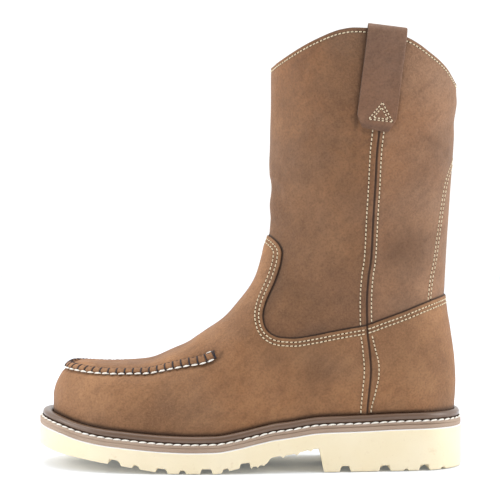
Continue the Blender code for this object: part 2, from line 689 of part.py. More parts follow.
def make_pull_loop(name, side, collection):
    """A leather strap folded over the collar, standing a little off it at the top."""
    outside = surface_tree(upper_grid(SECTION_COUNT, AROUND_COUNT, LAYER))
    inside = surface_tree(upper_grid(CAVITY_SECTION_COUNT, CAVITY_AROUND_COUNT, -SHAFT_WALL))
    across = np.linspace(-0.5, 0.5, LOOP_ACROSS_COUNT)
    crest_base = COLLAR_HEIGHT + LOOP_RISE - LOOP_THICKNESS - LOOP_CREST
    bottom = COLLAR_HEIGHT - LOOP_DROP
    outer_z = np.linspace(bottom, crest_base, LOOP_OUTER_COUNT)
    inner_z = np.linspace(crest_base, COLLAR_HEIGHT - LOOP_INNER_DROP, LOOP_INNER_COUNT)

    def wall(tree, x, z, start):
        """Distance from the middle plane to the surface, sought from start toward or away from it."""
        hit = tree.ray_cast(Vector((x, start, z)), Vector((0, side if start == 0 else -side, 0)))[0]
        return abs(hit.y)

    def centre_x(z):
        return LOOP_PLACE * LENGTH + LOOP_LEAN * (z - COLLAR_HEIGHT)

    def standoff(z):
        share = min(max((z - (crest_base + bottom) / 2) / (LOOP_DROP * LOOP_LIFT_SHARE), 0.0), 1.0)
        return GAP + LOOP_STANDOFF * share * share * (3 - 2 * share)

    rows = []
    for q in across:
        line = []
        tilt = -LOOP_LEAN * q * LOOP_WIDTH
        for z in outer_z:
            widening = min(1.0, (z - bottom) / LOOP_CORNER)
            width = LOOP_WIDTH * (LOOP_TIP_SHARE + (1 - LOOP_TIP_SHARE) * widening)
            x = centre_x(z) + q * width
            line.append((x, wall(outside, x, z + tilt, LENGTH * side) + standoff(z), z + tilt))
        x = centre_x(crest_base) + q * LOOP_WIDTH
        far = line[-1][1]
        near = wall(inside, x, crest_base + tilt, 0) - standoff(crest_base)
        for turn in np.linspace(0, math.pi, LOOP_CREST_COUNT)[1:-1]:
            z = crest_base + LOOP_CREST * math.sin(turn)
            y = (far + near) / 2 + (far - near) / 2 * math.cos(turn)
            line.append((centre_x(z) + q * LOOP_WIDTH, y, z + tilt))
        for z in inner_z:
            x = centre_x(z) + q * LOOP_WIDTH
            line.append((x, wall(inside, x, z + tilt, 0) - standoff(z), z + tilt))
        rows.append(line)
    near_face = np.array(rows)
    ahead = np.gradient(near_face, axis=1)
    outward = np.zeros_like(near_face)
    outward[..., 1] = ahead[..., 2]
    outward[..., 2] = -ahead[..., 1]
    outward /= np.linalg.norm(outward, axis=2, keepdims=True)
    far_face = near_face + outward * LOOP_THICKNESS
    points = np.concatenate([near_face.reshape(-1, 3), far_face.reshape(-1, 3)])
    points[:, 1] *= side
    wide, long = near_face.shape[:2]
    shift = wide * long
    faces = []
    for i in range(wide - 1):
        for j in range(long - 1):
            quad = [i * long + j, i * long + j + 1, (i + 1) * long + j + 1, (i + 1) * long + j]
            faces.append(quad)
            faces.append([shift + corner for corner in quad])
    rim = [*range(long), *[i * long + long - 1 for i in range(1, wide)]]
    rim += [(wide - 1) * long + j for j in range(long - 2, -1, -1)]
    rim += [i * long for i in range(wide - 2, 0, -1)]
    for here, there in zip(rim, rim[1:] + rim[:1]):
        faces.append([here, there, shift + there, shift + here])
    return mesh_object(name, points, faces, collection)


def build():
    start_clean()
    boot = collection_named("work_boot")
    cutters = collection_named("cutters")
    leather = plain_material("tan_leather", (0.32, 0.165, 0.089), 0.7)
    strap_leather = plain_material("brown_leather", (0.22, 0.12, 0.07), 0.7)
    rubber = plain_material("cream_rubber", (0.93, 0.85, 0.62), 0.6)
    mid_rubber = plain_material("taupe_midsole", (0.42, 0.32, 0.23), 0.6)
    welt_rubber = plain_material("taupe_welt", (0.2, 0.14, 0.1), 0.45)
    footbed = plain_material("footbed", (0.18, 0.15, 0.12), 0.9)
    feather = closed_outline(outline_at(FEATHER_LEVEL, LAYER), OUTLINE_POINT_COUNT)
    finish(make_outsole(feather, boot, cutters), rubber)
    finish(make_midsole(feather, boot), mid_rubber)
    finish(make_welt(feather, boot), welt_rubber)
    finish(make_insole(boot), footbed)
    finish(make_upper(boot, cutters), leather)
    finish(make_pull_loop("pull_loop_outer", -1, boot), strap_leather)
    finish(make_pull_loop("pull_loop_inner", 1, boot), strap_leather)


build()
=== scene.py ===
# %% [markdown]
# # A pull-on leather work boot
# The boot is a tall leather shaft with a scalloped collar, two pull straps, a vamp and a counter sewn over
# the shaft, a gathered seam round the toe, and a stitched welt on a cream moulded sole with a heel.
# The construction model gives its size and its main solids. This script builds the surface that a person
# sees on top of that frame: panels with cut edges, thread, creases, nap, soft rubber and studio light.
# Sizes are worked out in millimetres, with X from toe to heel, Y across and Z up, and turned to metres
# when a mesh is made.

import math

import bpy
import numpy as np
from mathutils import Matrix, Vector
from mathutils.bvhtree import BVHTree
from mathutils.kdtree import KDTree


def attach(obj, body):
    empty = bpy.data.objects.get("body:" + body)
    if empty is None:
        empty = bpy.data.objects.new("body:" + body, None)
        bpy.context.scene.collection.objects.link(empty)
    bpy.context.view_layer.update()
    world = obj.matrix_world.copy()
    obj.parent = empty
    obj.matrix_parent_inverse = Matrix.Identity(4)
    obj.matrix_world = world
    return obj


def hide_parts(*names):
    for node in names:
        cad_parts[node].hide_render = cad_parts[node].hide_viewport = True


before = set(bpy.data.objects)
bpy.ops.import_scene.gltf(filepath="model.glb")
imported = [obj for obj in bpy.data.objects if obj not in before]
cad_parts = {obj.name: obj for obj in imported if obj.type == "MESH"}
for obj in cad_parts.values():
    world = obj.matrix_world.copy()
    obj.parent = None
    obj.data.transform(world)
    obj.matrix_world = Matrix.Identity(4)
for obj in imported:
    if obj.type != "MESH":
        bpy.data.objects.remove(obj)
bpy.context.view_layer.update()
MM = 0.001

# %% [markdown]
# ## Curves through a few measured rows
# A boot has no straight lines, but a few measured places describe it well. The values between the rows can
# be found with a Bezier curve, with a fitted spline, or with a monotone cubic. The monotone cubic is used:
# it never swings past the measured rows, so a heel or a collar keeps its measured height.

# %% Curve helpers
def smooth_through(at, rows_at, rows_value):
    """Values at the places asked, on a smooth curve through the rows that never swings past them."""
    x, y = np.asarray(rows_at, float), np.asarray(rows_value, float)
    step = np.diff(x)
    rise = np.diff(y) / step
    same = rise[1:] * rise[:-1] > 0
    w1, w2 = 2 * step[1:] + step[:-1], step[1:] + 2 * step[:-1]
    before, after = np.where(same, rise[:-1], 1.0), np.where(same, rise[1:], 1.0)
    slope = np.concatenate([[rise[0]], np.where(same, (w1 + w2) / (w1 / before + w2 / after), 0.0), [rise[-1]]])
    at = np.clip(np.asarray(at, float), x[0], x[-1])
    i = np.clip(np.searchsorted(x, at, side="right") - 1, 0, len(step) - 1)
    t, h = (at - x[i]) / step[i], step[i]
    start = y[i] * (1 + 2 * t) * (1 - t) ** 2 + h * slope[i] * t * (1 - t) ** 2
    return start + y[i + 1] * t * t * (3 - 2 * t) + h * slope[i + 1] * t * t * (t - 1)


def lengths_along(points):
    return np.concatenate([[0.0], np.cumsum(np.linalg.norm(np.diff(points, axis=0), axis=1))])


def resample(points, count, closed=False):
    """The polyline with its points evenly spaced along it."""
    points = np.asarray(points, float)
    if closed:
        points = np.vstack([points, points[:1]])
    along = lengths_along(points)
    wanted = np.linspace(0.0, along[-1], count, endpoint=not closed)
    return np.column_stack([np.interp(wanted, along, column) for column in points.T])


def smooth_line(rows, count=160):
    """A rounded line through corner points: each coordinate runs through them as a monotone cubic."""
    rows = np.asarray(rows, float)
    along = lengths_along(rows)
    places = np.linspace(0, along[-1], count)
    return np.column_stack([smooth_through(places, along, column) for column in rows.T])


def bell(distance, width):
    return np.exp(-((np.asarray(distance) / width) ** 2))


def ease(value, start, end):
    t = np.clip((np.asarray(value, float) - start) / (end - start), 0, 1)
    return t * t * (3 - 2 * t)


# %% [markdown]
# ## The measured tables
# These are the rows that shape the boot. The upper is a fan of sections: upright and straight across the
# toe, tipping back over the instep, and nearly level up the shaft. A loft through drawn curves would need
# many curves. A table of front line, back line and width is shorter and easy to correct.

# %% Sizes and section rows
LENGTH, COLLAR_HEIGHT, BALL_WIDTH, HEEL_HEIGHT = 306.0, 311.5, 99.4, 30.0
TOE_CAP_LENGTH, TOE_CAP_ROUNDNESS = 75.0, 2.3
SHAFT_WALL, LAYER = 1.9, 1.0
STRAP_WIDTH, STRAP_THICKNESS, STRAP_PLACE, STRAP_LEAN = 27.5, 2.0, 0.312, 0.12
STRAP_TAIL_Z, STRAP_INNER_Z, STRAP_TOP_Z, STRAP_CREST = 241.0, 262.0, 313.5, 5.0

SECTION_COLUMNS = (
    "front_x", "front_z", "back_x", "back_z", "half_width", "centre", "widest", "low", "high", "layer",
)
SECTIONS = np.array([
    (-0.467, 0.161, -0.467, 0.063, 0.475, 0.088, 0.4, 4.5, 2.4, 1.0),
    (-0.462, 0.180, -0.462, 0.061, 0.475, 0.086, 0.4, 4.5, 2.5, 1.0),
    (-0.445, 0.213, -0.445, 0.056, 0.475, 0.082, 0.4, 4.5, 2.7, 1.0),
    (-0.424, 0.232, -0.424, 0.050, 0.478, 0.076, 0.4, 4.5, 3.0, 1.0),
    (-0.392, 0.236, -0.392, 0.043, 0.484, 0.068, 0.39, 4.5, 3.0, 1.0),
    (-0.330, 0.233, -0.330, 0.036, 0.494, 0.047, 0.38, 4.5, 3.2, 1.0),
    (-0.248, 0.238, -0.248, 0.028, 0.500, 0.030, 0.36, 4.5, 3.1, 1.0),
    (-0.177, 0.266, -0.165, 0.023, 0.499, 0.012, 0.33, 4.5, 2.9, 1.0),
    (-0.106, 0.307, -0.072, 0.023, 0.478, -0.014, 0.29, 4.4, 2.5, 1.0),
    (-0.035, 0.370, 0.039, 0.046, 0.425, -0.034, 0.27, 4.2, 2.3, 1.0),
    (0.012, 0.435, 0.180, 0.064, 0.385, -0.026, 0.33, 4.1, 2.15, 1.0),
    (0.033, 0.505, 0.343, 0.069, 0.380, -0.006, 0.39, 3.6, 2.1, 0.9),
    (0.043, 0.538, 0.451, 0.071, 0.390, 0.006, 0.43, 2.8, 2.1, 0.75),
    (0.046, 0.555, 0.477, 0.079, 0.396, 0.006, 0.46, 2.3, 2.1, 0.6),
    (0.048, 0.575, 0.481, 0.135, 0.405, 0.006, 0.48, 2.2, 2.1, 0.5),
    (0.048, 0.594, 0.484, 0.187, 0.415, 0.005, 0.5, 2.2, 2.1, 0.4),
    (0.047, 0.629, 0.481, 0.241, 0.428, 0.004, 0.5, 2.2, 2.1, 0.3),
    (0.047, 0.668, 0.470, 0.315, 0.440, 0.003, 0.5, 2.2, 2.15, 0.15),
    (0.047, 0.706, 0.458, 0.392, 0.450, 0.002, 0.5, 2.2, 2.2, 0.0),
    (0.047, 0.757, 0.461, 0.472, 0.468, 0.000, 0.5, 2.2, 2.2, 0.0),
    (0.049, 0.841, 0.469, 0.610, 0.508, 0.000, 0.5, 2.25, 2.25, 0.0),
    (0.049, 0.931, 0.479, 0.764, 0.543, 0.000, 0.5, 2.3, 2.3, 0.0),
    (0.050, 1.075, 0.489, 1.027, 0.578, 0.000, 0.5, 2.3, 2.3, 0.0),
])
print("section rows:", len(SECTIONS))

# %% Sole levels and seam lines
SOLE_LEVELS = np.array([
    (-0.500, 1.000, 0.500), (-0.474, 0.940, 0.440), (-0.448, 0.877, 0.383), (-0.392, 0.730, 0.300),
    (-0.337, 0.643, 0.220), (-0.294, 0.603, 0.163), (-0.232, 0.545, 0.063), (-0.196, 0.520, 0.0),
    (-0.137, 0.500, 0.0), (-0.082, 0.510, 0.0), (-0.023, 0.607, 0.123), (0.016, 0.700, 0.173),
    (0.037, 0.747, 0.220), (0.050, 0.777, 0.363), (0.092, 0.830, 0.420), (0.158, 0.925, 0.553),
    (0.172, 0.933, 0.0), (0.261, 0.957, 0.0), (0.346, 0.990, 0.0), (0.444, 1.000, 0.0), (0.500, 0.990, 0.0),
])
COLLAR = np.array([
    (-0.020, 0.914), (0.046, 0.915), (0.063, 0.926), (0.093, 0.945), (0.115, 0.958), (0.138, 0.970),
    (0.160, 0.980), (0.182, 0.989), (0.205, 0.996), (0.235, 1.000), (0.268, 0.999), (0.300, 0.994),
    (0.335, 0.986), (0.362, 0.977), (0.388, 0.963), (0.411, 0.947), (0.436, 0.929), (0.456, 0.910),
    (0.469, 0.893), (0.480, 0.880), (0.530, 0.870),
]) * (LENGTH, COLLAR_HEIGHT)
VAMP_EDGE = smooth_line(np.array([
    (-0.100, 0.545), (0.020, 0.538), (0.040, 0.531), (0.057, 0.520), (0.068, 0.508), (0.073, 0.494),
    (0.071, 0.476), (0.064, 0.451), (0.053, 0.423), (0.041, 0.398), (0.032, 0.375), (0.028, 0.352),
    (0.032, 0.330), (0.046, 0.312), (0.068, 0.303), (0.100, 0.301), (0.145, 0.307), (0.192, 0.316),
    (0.240, 0.325), (0.268, 0.331), (0.310, 0.346), (0.352, 0.361), (0.395, 0.377), (0.440, 0.390),
    (0.550, 0.407),
]) * (LENGTH, COLLAR_HEIGHT))
SIDE_SEAM = smooth_line([
    (82.2, 20.0), (82.3, 41.8), (83.7, 57.7), (84.8, 71.3), (83.7, 86.4), (82.1, 101.1), (81.7, 120.3),
    (82.6, 137.5), (84.4, 151.0), (85.7, 180.0), (86.9, 202.5), (87.8, 224.7), (89.3, 240.2), (91.8, 277.0),
    (95.5, 317.0), (97.0, 335.0),
])
BACK_STAY = smooth_line([
    (126.2, 108.0), (126.4, 121.2), (127.4, 132.6), (130.2, 149.4), (133.0, 167.8), (135.2, 184.7),
    (138.4, 204.0), (144.4, 218.3), (152.0, 232.0),
])
TOE_SEAM = np.array([
    (-0.430, 0.0), (-0.425, 0.100), (-0.412, 0.180), (-0.388, 0.240), (-0.354, 0.283), (-0.312, 0.310),
    (-0.262, 0.328), (-0.211, 0.347), (-0.165, 0.364), (-0.122, 0.366), (-0.079, 0.356),
]) * (LENGTH, BALL_WIDTH)


def outsole_top(x):
    return smooth_through(x, SOLE_LEVELS[:, 0] * LENGTH, SOLE_LEVELS[:, 1] * HEEL_HEIGHT)


def outsole_bottom(x):
    return smooth_through(x, SOLE_LEVELS[:, 0] * LENGTH, SOLE_LEVELS[:, 2] * HEEL_HEIGHT)


def centre_line(x):
    return smooth_through(x, SECTIONS[1:10, 0] * LENGTH, SECTIONS[1:10, 5] * BALL_WIDTH)


print("sole at the ball and heel, mm:", outsole_top(np.array([-42.0, 106.0])).round(2))

# %% [markdown]
# ## From points to Blender meshes
# `from_pydata` makes a mesh from plain lists, and a float attribute can ride on its points. The attribute
# called shade holds painted shade and soil: how much shadow is painted on the leather at each point, at seams,
# edges, troughs and the welt, and how stained it is, so that one leather material can follow the seams.
# Painting a mask by hand would do the same but would need an image.

# %% Mesh helpers
def mesh_piece(name, points, faces, materials, shade=None, face_material=None, smooth=True):
    """A mesh object from millimetre points, with smooth faces, its materials and the shade attribute."""
    mesh = bpy.data.meshes.new(name)
    faces = [tuple(int(v) for v in face) for face in faces]
    mesh.from_pydata((np.asarray(points, float) * MM).tolist(), [], faces)
    for material in materials:
        mesh.materials.append(material)
    if face_material is not None:
        mesh.polygons.foreach_set("material_index", np.asarray(face_material, np.int32))
    mesh.polygons.foreach_set("use_smooth", np.full(len(faces), smooth))
    if shade is not None:
        layer = mesh.attributes.new("shade", "FLOAT", "POINT")
        layer.data.foreach_set("value", np.asarray(shade, np.float32))
    mesh.update()
    obj = bpy.data.objects.new(name, mesh)
    bpy.context.scene.collection.objects.link(obj)
    return obj


def belongs(obj, slot_name, *nodes):
    """The piece moves with the boot and may stand for nodes of the frame, which it hides. slot_name is not used."""
    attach(obj, "root")
    if nodes:
        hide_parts(*nodes)
    return obj


def grid_quads(rows, columns, closed=True, flip=False):
    """Quads over a grid of points stored row by row. closed joins the last column to the first."""
    k, j = np.meshgrid(np.arange(rows - 1), np.arange(columns if closed else columns - 1), indexing="ij")
    following = (j + 1) % columns
    low, high = k * columns, (k + 1) * columns
    quads = np.stack([low + j, high + j, high + following, low + following], axis=-1).reshape(-1, 4)
    return quads[:, ::-1] if flip else quads


# %% [markdown]
# ## Finishes
# All finishes are mixed from noise, so they hold at any distance and read no picture. Oiled nubuck has three
# things in it: a brown that drifts over a hand's width, small warm and dusty patches, and a fine nap that
# catches light at its edges. The drift and the patches are noise of different sizes. The nap is a weak bump
# with a little sheen, which is cheaper than hair and looks the same from a step away.

# %% Node helpers
def start_material(name, roughness=0.6, specular=0.5):
    material = bpy.data.materials.new(name)
    material.use_nodes = True
    tree = material.node_tree
    shader = tree.nodes["Principled BSDF"]
    shader.inputs["Roughness"].default_value = roughness
    shader.inputs["Specular IOR Level"].default_value = specular
    return material, tree, shader


def linear(colour):
    """A colour as seen on a screen, 0 to 255, turned to the light values that shaders use."""
    c = np.asarray(colour, float) / 255
    return (*np.where(c <= 0.04045, c / 12.92, ((c + 0.055) / 1.055) ** 2.4).tolist(), 1.0)


STREAK_LEAN = math.radians(48)


def noise_mask(tree, scale, low, high, detail=3.0, stretch=(1, 1, 1), shift=0.0):
    """A value from 0 to 1 that drifts with noise; low and high set where it starts and ends."""
    coordinates = tree.nodes.new("ShaderNodeTexCoord")
    mapping = tree.nodes.new("ShaderNodeMapping")
    mapping.inputs["Location"].default_value = (shift, shift * 0.7, shift * 1.3)
    if stretch != (1, 1, 1):
        # As a texture mapping the noise is turned first and stretched along its own axes
        mapping.vector_type = "TEXTURE"
        mapping.inputs["Rotation"].default_value = (0.0, STREAK_LEAN, 0.0)
        mapping.inputs["Scale"].default_value = tuple(1 / value for value in stretch)
    noise = tree.nodes.new("ShaderNodeTexNoise")
    noise.inputs["Scale"].default_value = scale
    noise.inputs["Detail"].default_value = detail
    tree.links.new(coordinates.outputs["Object"], mapping.inputs["Vector"])
    tree.links.new(mapping.outputs["Vector"], noise.inputs["Vector"])
    spread = tree.nodes.new("ShaderNodeMapRange")
    spread.inputs["From Min"].default_value = low
    spread.inputs["From Max"].default_value = high
    tree.links.new(noise.outputs["Fac"], spread.inputs["Value"])
    return spread.outputs["Result"]


def times(tree, socket, amount):
    node = tree.nodes.new("ShaderNodeMath")
    node.operation = "MULTIPLY"
    tree.links.new(socket, node.inputs[0])
    node.inputs[1].default_value = amount
    return node.outputs[0]


def blend_colour(tree, under, over, mask):
    """Under and over are colours or sockets, mask is a socket or a number."""
    node = tree.nodes.new("ShaderNodeMix")
    node.data_type = "RGBA"
    for value, place in ((under, 6), (over, 7)):
        if isinstance(value, tuple):
            node.inputs[place].default_value = value
        else:
            tree.links.new(value, node.inputs[place])
    if isinstance(mask, float):
        node.inputs[0].default_value = mask
    else:
        tree.links.new(mask, node.inputs[0])
    return node.outputs[2]


def add_bump(tree, shader, layers):
    """Bump from several noises: each has a scale, a strength and a height in metres."""
    last = None
    for scale, strength, height in layers:
        bump = tree.nodes.new("ShaderNodeBump")
        bump.inputs["Strength"].default_value = strength
        bump.inputs["Distance"].default_value = height
        tree.links.new(noise_mask(tree, scale, 0.3, 0.7, 4.0), bump.inputs["Height"])
        if last is not None:
            tree.links.new(last, bump.inputs["Normal"])
        last = bump.outputs["Normal"]
    tree.links.new(last, shader.inputs["Normal"])


# %% Leather
def leather(name, mid, light, dark, dusty, dusty_share=0.5, roughness=0.66):
    """Oiled leather with a soft nap. The shade attribute darkens it with painted shade and stains near seams and the
    sole.
    """
    material, tree, shader = start_material(name, roughness, 0.35)
    warm = [v * share for v, share in zip(light, (1.02, 0.93, 0.80))]
    # Each row: colour laid over, noise scale, start and end of the mask, detail, shift, share, stretch
    layers = [
        (light, 14, 0.36, 0.68, 2.0, 0.0, 1.0, (1, 1, 1)),
        (dark, 22, 0.50, 0.74, 3.0, 3.1, 0.60, (1, 1, 1)),
        (warm, 12, 0.48, 0.68, 3.0, 9.4, 0.45, (1, 1, 1)),
        (dusty, 17, 0.48, 0.70, 3.5, 7.7, dusty_share, (1, 1, 1)),
        (light, 55, 0.50, 0.74, 4.0, 1.9, 0.42, (1, 1, 1)),
        (dark, 62, 0.50, 0.76, 4.0, 6.2, 0.26, (1, 1, 0.6)),
        (dark, 160, 0.48, 0.80, 5.0, 4.4, 0.34, (1, 1, 1)),
        (dark, 80, 0.52, 0.74, 5.0, 2.6, 0.28, (2.4, 1, 0.40)),
        (light, 110, 0.54, 0.76, 5.0, 8.3, 0.32, (2.8, 1, 0.30)),
        (dark, 700, 0.42, 0.70, 3.0, 0.6, 0.41, (1, 1, 1)),
        (light, 950, 0.48, 0.74, 3.0, 5.1, 0.42, (1, 1, 1)),
    ]
    colour = linear(mid)
    for over, scale, low, high, detail, shift, share, stretch in layers:
        mask = noise_mask(tree, scale, low, high, detail, stretch, shift)
        colour = blend_colour(tree, colour, linear(over), times(tree, mask, share))
    # The shade attribute mixes in painted shade from seams, edges, troughs and the welt, and the stains
    painted_shade_and_soil = tree.nodes.new("ShaderNodeAttribute")
    painted_shade_and_soil.attribute_name = "shade"
    painted_shade_and_soil_colour = [v * share for v, share in zip(dark, (0.46, 0.40, 0.34))]
    colour = blend_colour(tree, colour, linear(painted_shade_and_soil_colour), painted_shade_and_soil.outputs["Fac"])
    tree.links.new(colour, shader.inputs["Base Color"])
    shader.inputs["Sheen Weight"].default_value = 0.07
    shader.inputs["Sheen Roughness"].default_value = 0.45
    shader.inputs["Sheen Tint"].default_value = linear((230, 190, 150))
    add_bump(tree, shader, [(70, 0.45, 0.0014), (420, 0.35, 0.0005), (1300, 0.40, 0.00022)])
    return material


TAN = leather("tan_leather_look", (144, 102, 68), (172, 126, 86), (102, 68, 43), (134, 104, 80), 0.35)
SHAFT = leather("shaft_front_look", (122, 85, 57), (148, 107, 73), (84, 56, 36), (121, 93, 73), 0.6)
# The back panel is the shaft's leather painted lighter, where the side light falls brighter on it
SHAFT_BACK_PAINTED_LIGHTER = leather("shaft_back_painted_lighter_look", (139, 101, 73), (163, 122, 90), (101, 70, 48), (136, 108, 87), 0.6)
STRAP = leather("strap_leather_look", (122, 88, 66), (142, 106, 82), (86, 60, 43), (128, 101, 84), 0.5, 0.58)
CUT_EDGE = leather("cut_edge_look", (84, 54, 36), (98, 66, 45), (60, 38, 24), (90, 62, 45), 0.2, 0.75)
LINING = leather("lining_look", (176, 146, 114), (188, 160, 128), (150, 120, 92), (170, 142, 115), 0.3, 0.8)
print("leathers:", [m.name for m in (TAN, SHAFT, STRAP, CUT_EDGE, LINING)])

# %% [markdown]
# Thread is waxed and slightly fuzzy. A twist could be modelled as a helix, but at this pitch a fine bump
# along each stitch is enough. The needle holes are plain dark dots of painted shade with no gloss.

# %% Thread and holes
def plain(name, colour, roughness, other=None, mask_scale=200, specular=0.4, bump=None):
    """A simple finish: one colour drifting to another with noise, and an optional bump."""
    material, tree, shader = start_material(name, roughness, specular)
    other = other or [v * 0.9 for v in colour]
    mixed = blend_colour(tree, linear(colour), linear(other), noise_mask(tree, mask_scale, 0.35, 0.7, 3.0))
    tree.links.new(mixed, shader.inputs["Base Color"])
    if bump:
        add_bump(tree, shader, bump)
    return material


THREAD = plain("cream_thread", (232, 217, 186), 0.62, (208, 189, 154), 900, 0.3, [(2500, 0.5, 0.0002)])
WHITE_THREAD = plain("white_thread", (252, 248, 240), 0.6, (236, 228, 212), 900, 0.3, [(2500, 0.5, 0.0002)])
DARK_THREAD = plain("dark_thread", (46, 40, 48), 0.55, (30, 26, 32), 900, 0.35, [(2500, 0.4, 0.0002)])
PAINTED_HOLE_SHADE = plain("needle_hole_painted_shade", (48, 28, 16), 0.9, (34, 20, 10), 900, 0.1)
print("threads ready")

# %% [markdown]
# ## The upper as one fine grid
# The leather is first laid out as one grid of points over the whole last, 2 mm apart, with an outward
# direction and a few distances kept at every point: how far it is from the vamp's edge, the side seam, the
# collar and the sole. Panels could be modelled one by one and fitted together, but cutting them all from
# one grid keeps their curves in step, as real panels stretched on one last are.

# %% Sections of the last
SECTION_COUNT, AROUND_COUNT = 300, 264


def section_values(count):
    """The section table read at places spaced by the longer of the front and back lines."""
    fine = np.linspace(0, len(SECTIONS) - 1, 3000)
    read = lambda places, k: smooth_through(places, np.arange(len(SECTIONS)), SECTIONS[:, k])
    front = np.column_stack([read(fine, 0) * LENGTH, read(fine, 1) * COLLAR_HEIGHT])
    back = np.column_stack([read(fine, 2) * LENGTH, read(fine, 3) * COLLAR_HEIGHT])
    step = np.maximum(np.linalg.norm(np.diff(front, axis=0), axis=1), np.linalg.norm(np.diff(back, axis=0), axis=1))
    along = np.concatenate([[0.0], np.cumsum(step + 0.004)])
    places = np.interp(np.linspace(0, along[-1], count), along, fine)
    units = {"front_x": LENGTH, "back_x": LENGTH, "front_z": COLLAR_HEIGHT, "back_z": COLLAR_HEIGHT}
    units.update({"half_width": BALL_WIDTH, "centre": BALL_WIDTH})
    return {name: read(places, k) * units.get(name, 1.0) for k, name in enumerate(SECTION_COLUMNS)}


def last_grid(sections, around):
    """Points of the leather's outer surface, [section, place around, xyz], outward directions, and layer."""
    table = section_values(sections)
    angles = np.linspace(0, math.pi, 241)
    low_end = angles < math.pi / 2
    rings = []
    for k in range(sections):
        back = np.array([table["back_x"][k], table["back_z"][k]])
        front = np.array([table["front_x"][k], table["front_z"][k]])
        left = max(0.0, 1 - max(0.0, (back[0] + front[0]) / 2 - SECTIONS[0, 0] * LENGTH) / TOE_CAP_LENGTH)
        cap = (1 - left**TOE_CAP_ROUNDNESS) ** (1 / TOE_CAP_ROUNDNESS)
        power = 2 / np.where(low_end, table["low"][k], table["high"][k])
        reach = np.abs(np.cos(angles)) ** power
        wide = np.abs(np.sin(angles)) ** power * table["half_width"][k] * cap
        widest = table["widest"][k]
        share = np.where(low_end, widest * (1 - reach), widest + reach * (1 - widest))
        line = back + (front - back) * share[:, None]
        outer = np.column_stack([line[:, 0], table["centre"][k] - wide, line[:, 1]])
        inner = np.column_stack([line[:, 0], table["centre"][k] + wide, line[:, 1]])[-2:0:-1]
        rings.append(resample(np.vstack([outer, inner]), around, closed=True))
    grid = np.array(rings)
    for _ in range(4):
        grid[6:-1] = (grid[5:-2] + 2 * grid[6:-1] + grid[7:]) / 4
    along_boot = np.gradient(grid, axis=0)
    round_boot = (np.roll(grid, -1, axis=1) - np.roll(grid, 1, axis=1)) / 2
    normal = np.cross(round_boot, along_boot)
    normal /= np.maximum(np.linalg.norm(normal, axis=2, keepdims=True), 1e-9)
    normal[:2] = (-1.0, 0.0, 0.0)
    if normal[sections // 2, around // 4, 1] > 0:
        normal[2:] = -normal[2:]
    return grid, normal, np.repeat(table["layer"], around)


GRID, GRID_NORMAL, GRID_LAYER = last_grid(SECTION_COUNT, AROUND_COUNT)
print("leather grid points:", GRID.shape[0] * GRID.shape[1])

# %% Distances kept at every point
def signed_distance(points, line):
    """Distance of points (x, z) from a line seen from the side, positive on the left of its direction."""
    start, ahead = line[:-1], np.diff(line, axis=0)
    best = np.full(len(points), 1e9)
    signed = np.zeros(len(points))
    for a, d in zip(start, ahead):
        away = points - a
        share = np.clip(away @ d / (d @ d), 0, 1)
        gap = away - share[:, None] * d
        distance = np.sqrt((gap**2).sum(axis=1))
        nearer = distance < best
        side = np.where(d[0] * away[:, 1] - d[1] * away[:, 0] >= 0, 1.0, -1.0)
        signed[nearer] = (distance * side)[nearer]
        best[nearer] = distance[nearer]
    return signed


def base_surface(grid, normal, layer, flip=False):
    """The grid as triangles with its fields: vamp, seam, stay, collar and sole distances in millimetres."""
    point = grid.reshape(-1, 3)
    side_view = point[:, [0, 2]]
    quads = grid_quads(grid.shape[0], grid.shape[1], flip=flip)
    surface = {
        "point": point, "normal": normal.reshape(-1, 3), "layer": layer,
        "vamp": -signed_distance(side_view, VAMP_EDGE),
        "seam": signed_distance(side_view, SIDE_SEAM),
        "stay": signed_distance(side_view, BACK_STAY),
        "collar": smooth_through(point[:, 0], COLLAR[:, 0], COLLAR[:, 1]) - point[:, 2],
        "sole": point[:, 2] - outsole_top(point[:, 0]),
        "tris": np.vstack([quads[:, [0, 1, 2]], quads[:, [0, 2, 3]]]),
    }
    return surface


BASE = base_surface(GRID, GRID_NORMAL, GRID_LAYER)
lean = np.einsum("ij,ij->i", np.cross(
    BASE["point"][BASE["tris"][:, 1]] - BASE["point"][BASE["tris"][:, 0]],
    BASE["point"][BASE["tris"][:, 2]] - BASE["point"][BASE["tris"][:, 0]],
), BASE["normal"][BASE["tris"][:, 0]])
if lean.sum() < 0:
    BASE["tris"] = BASE["tris"][:, ::-1]
print("fields:", [name for name in BASE if name != "tris"])
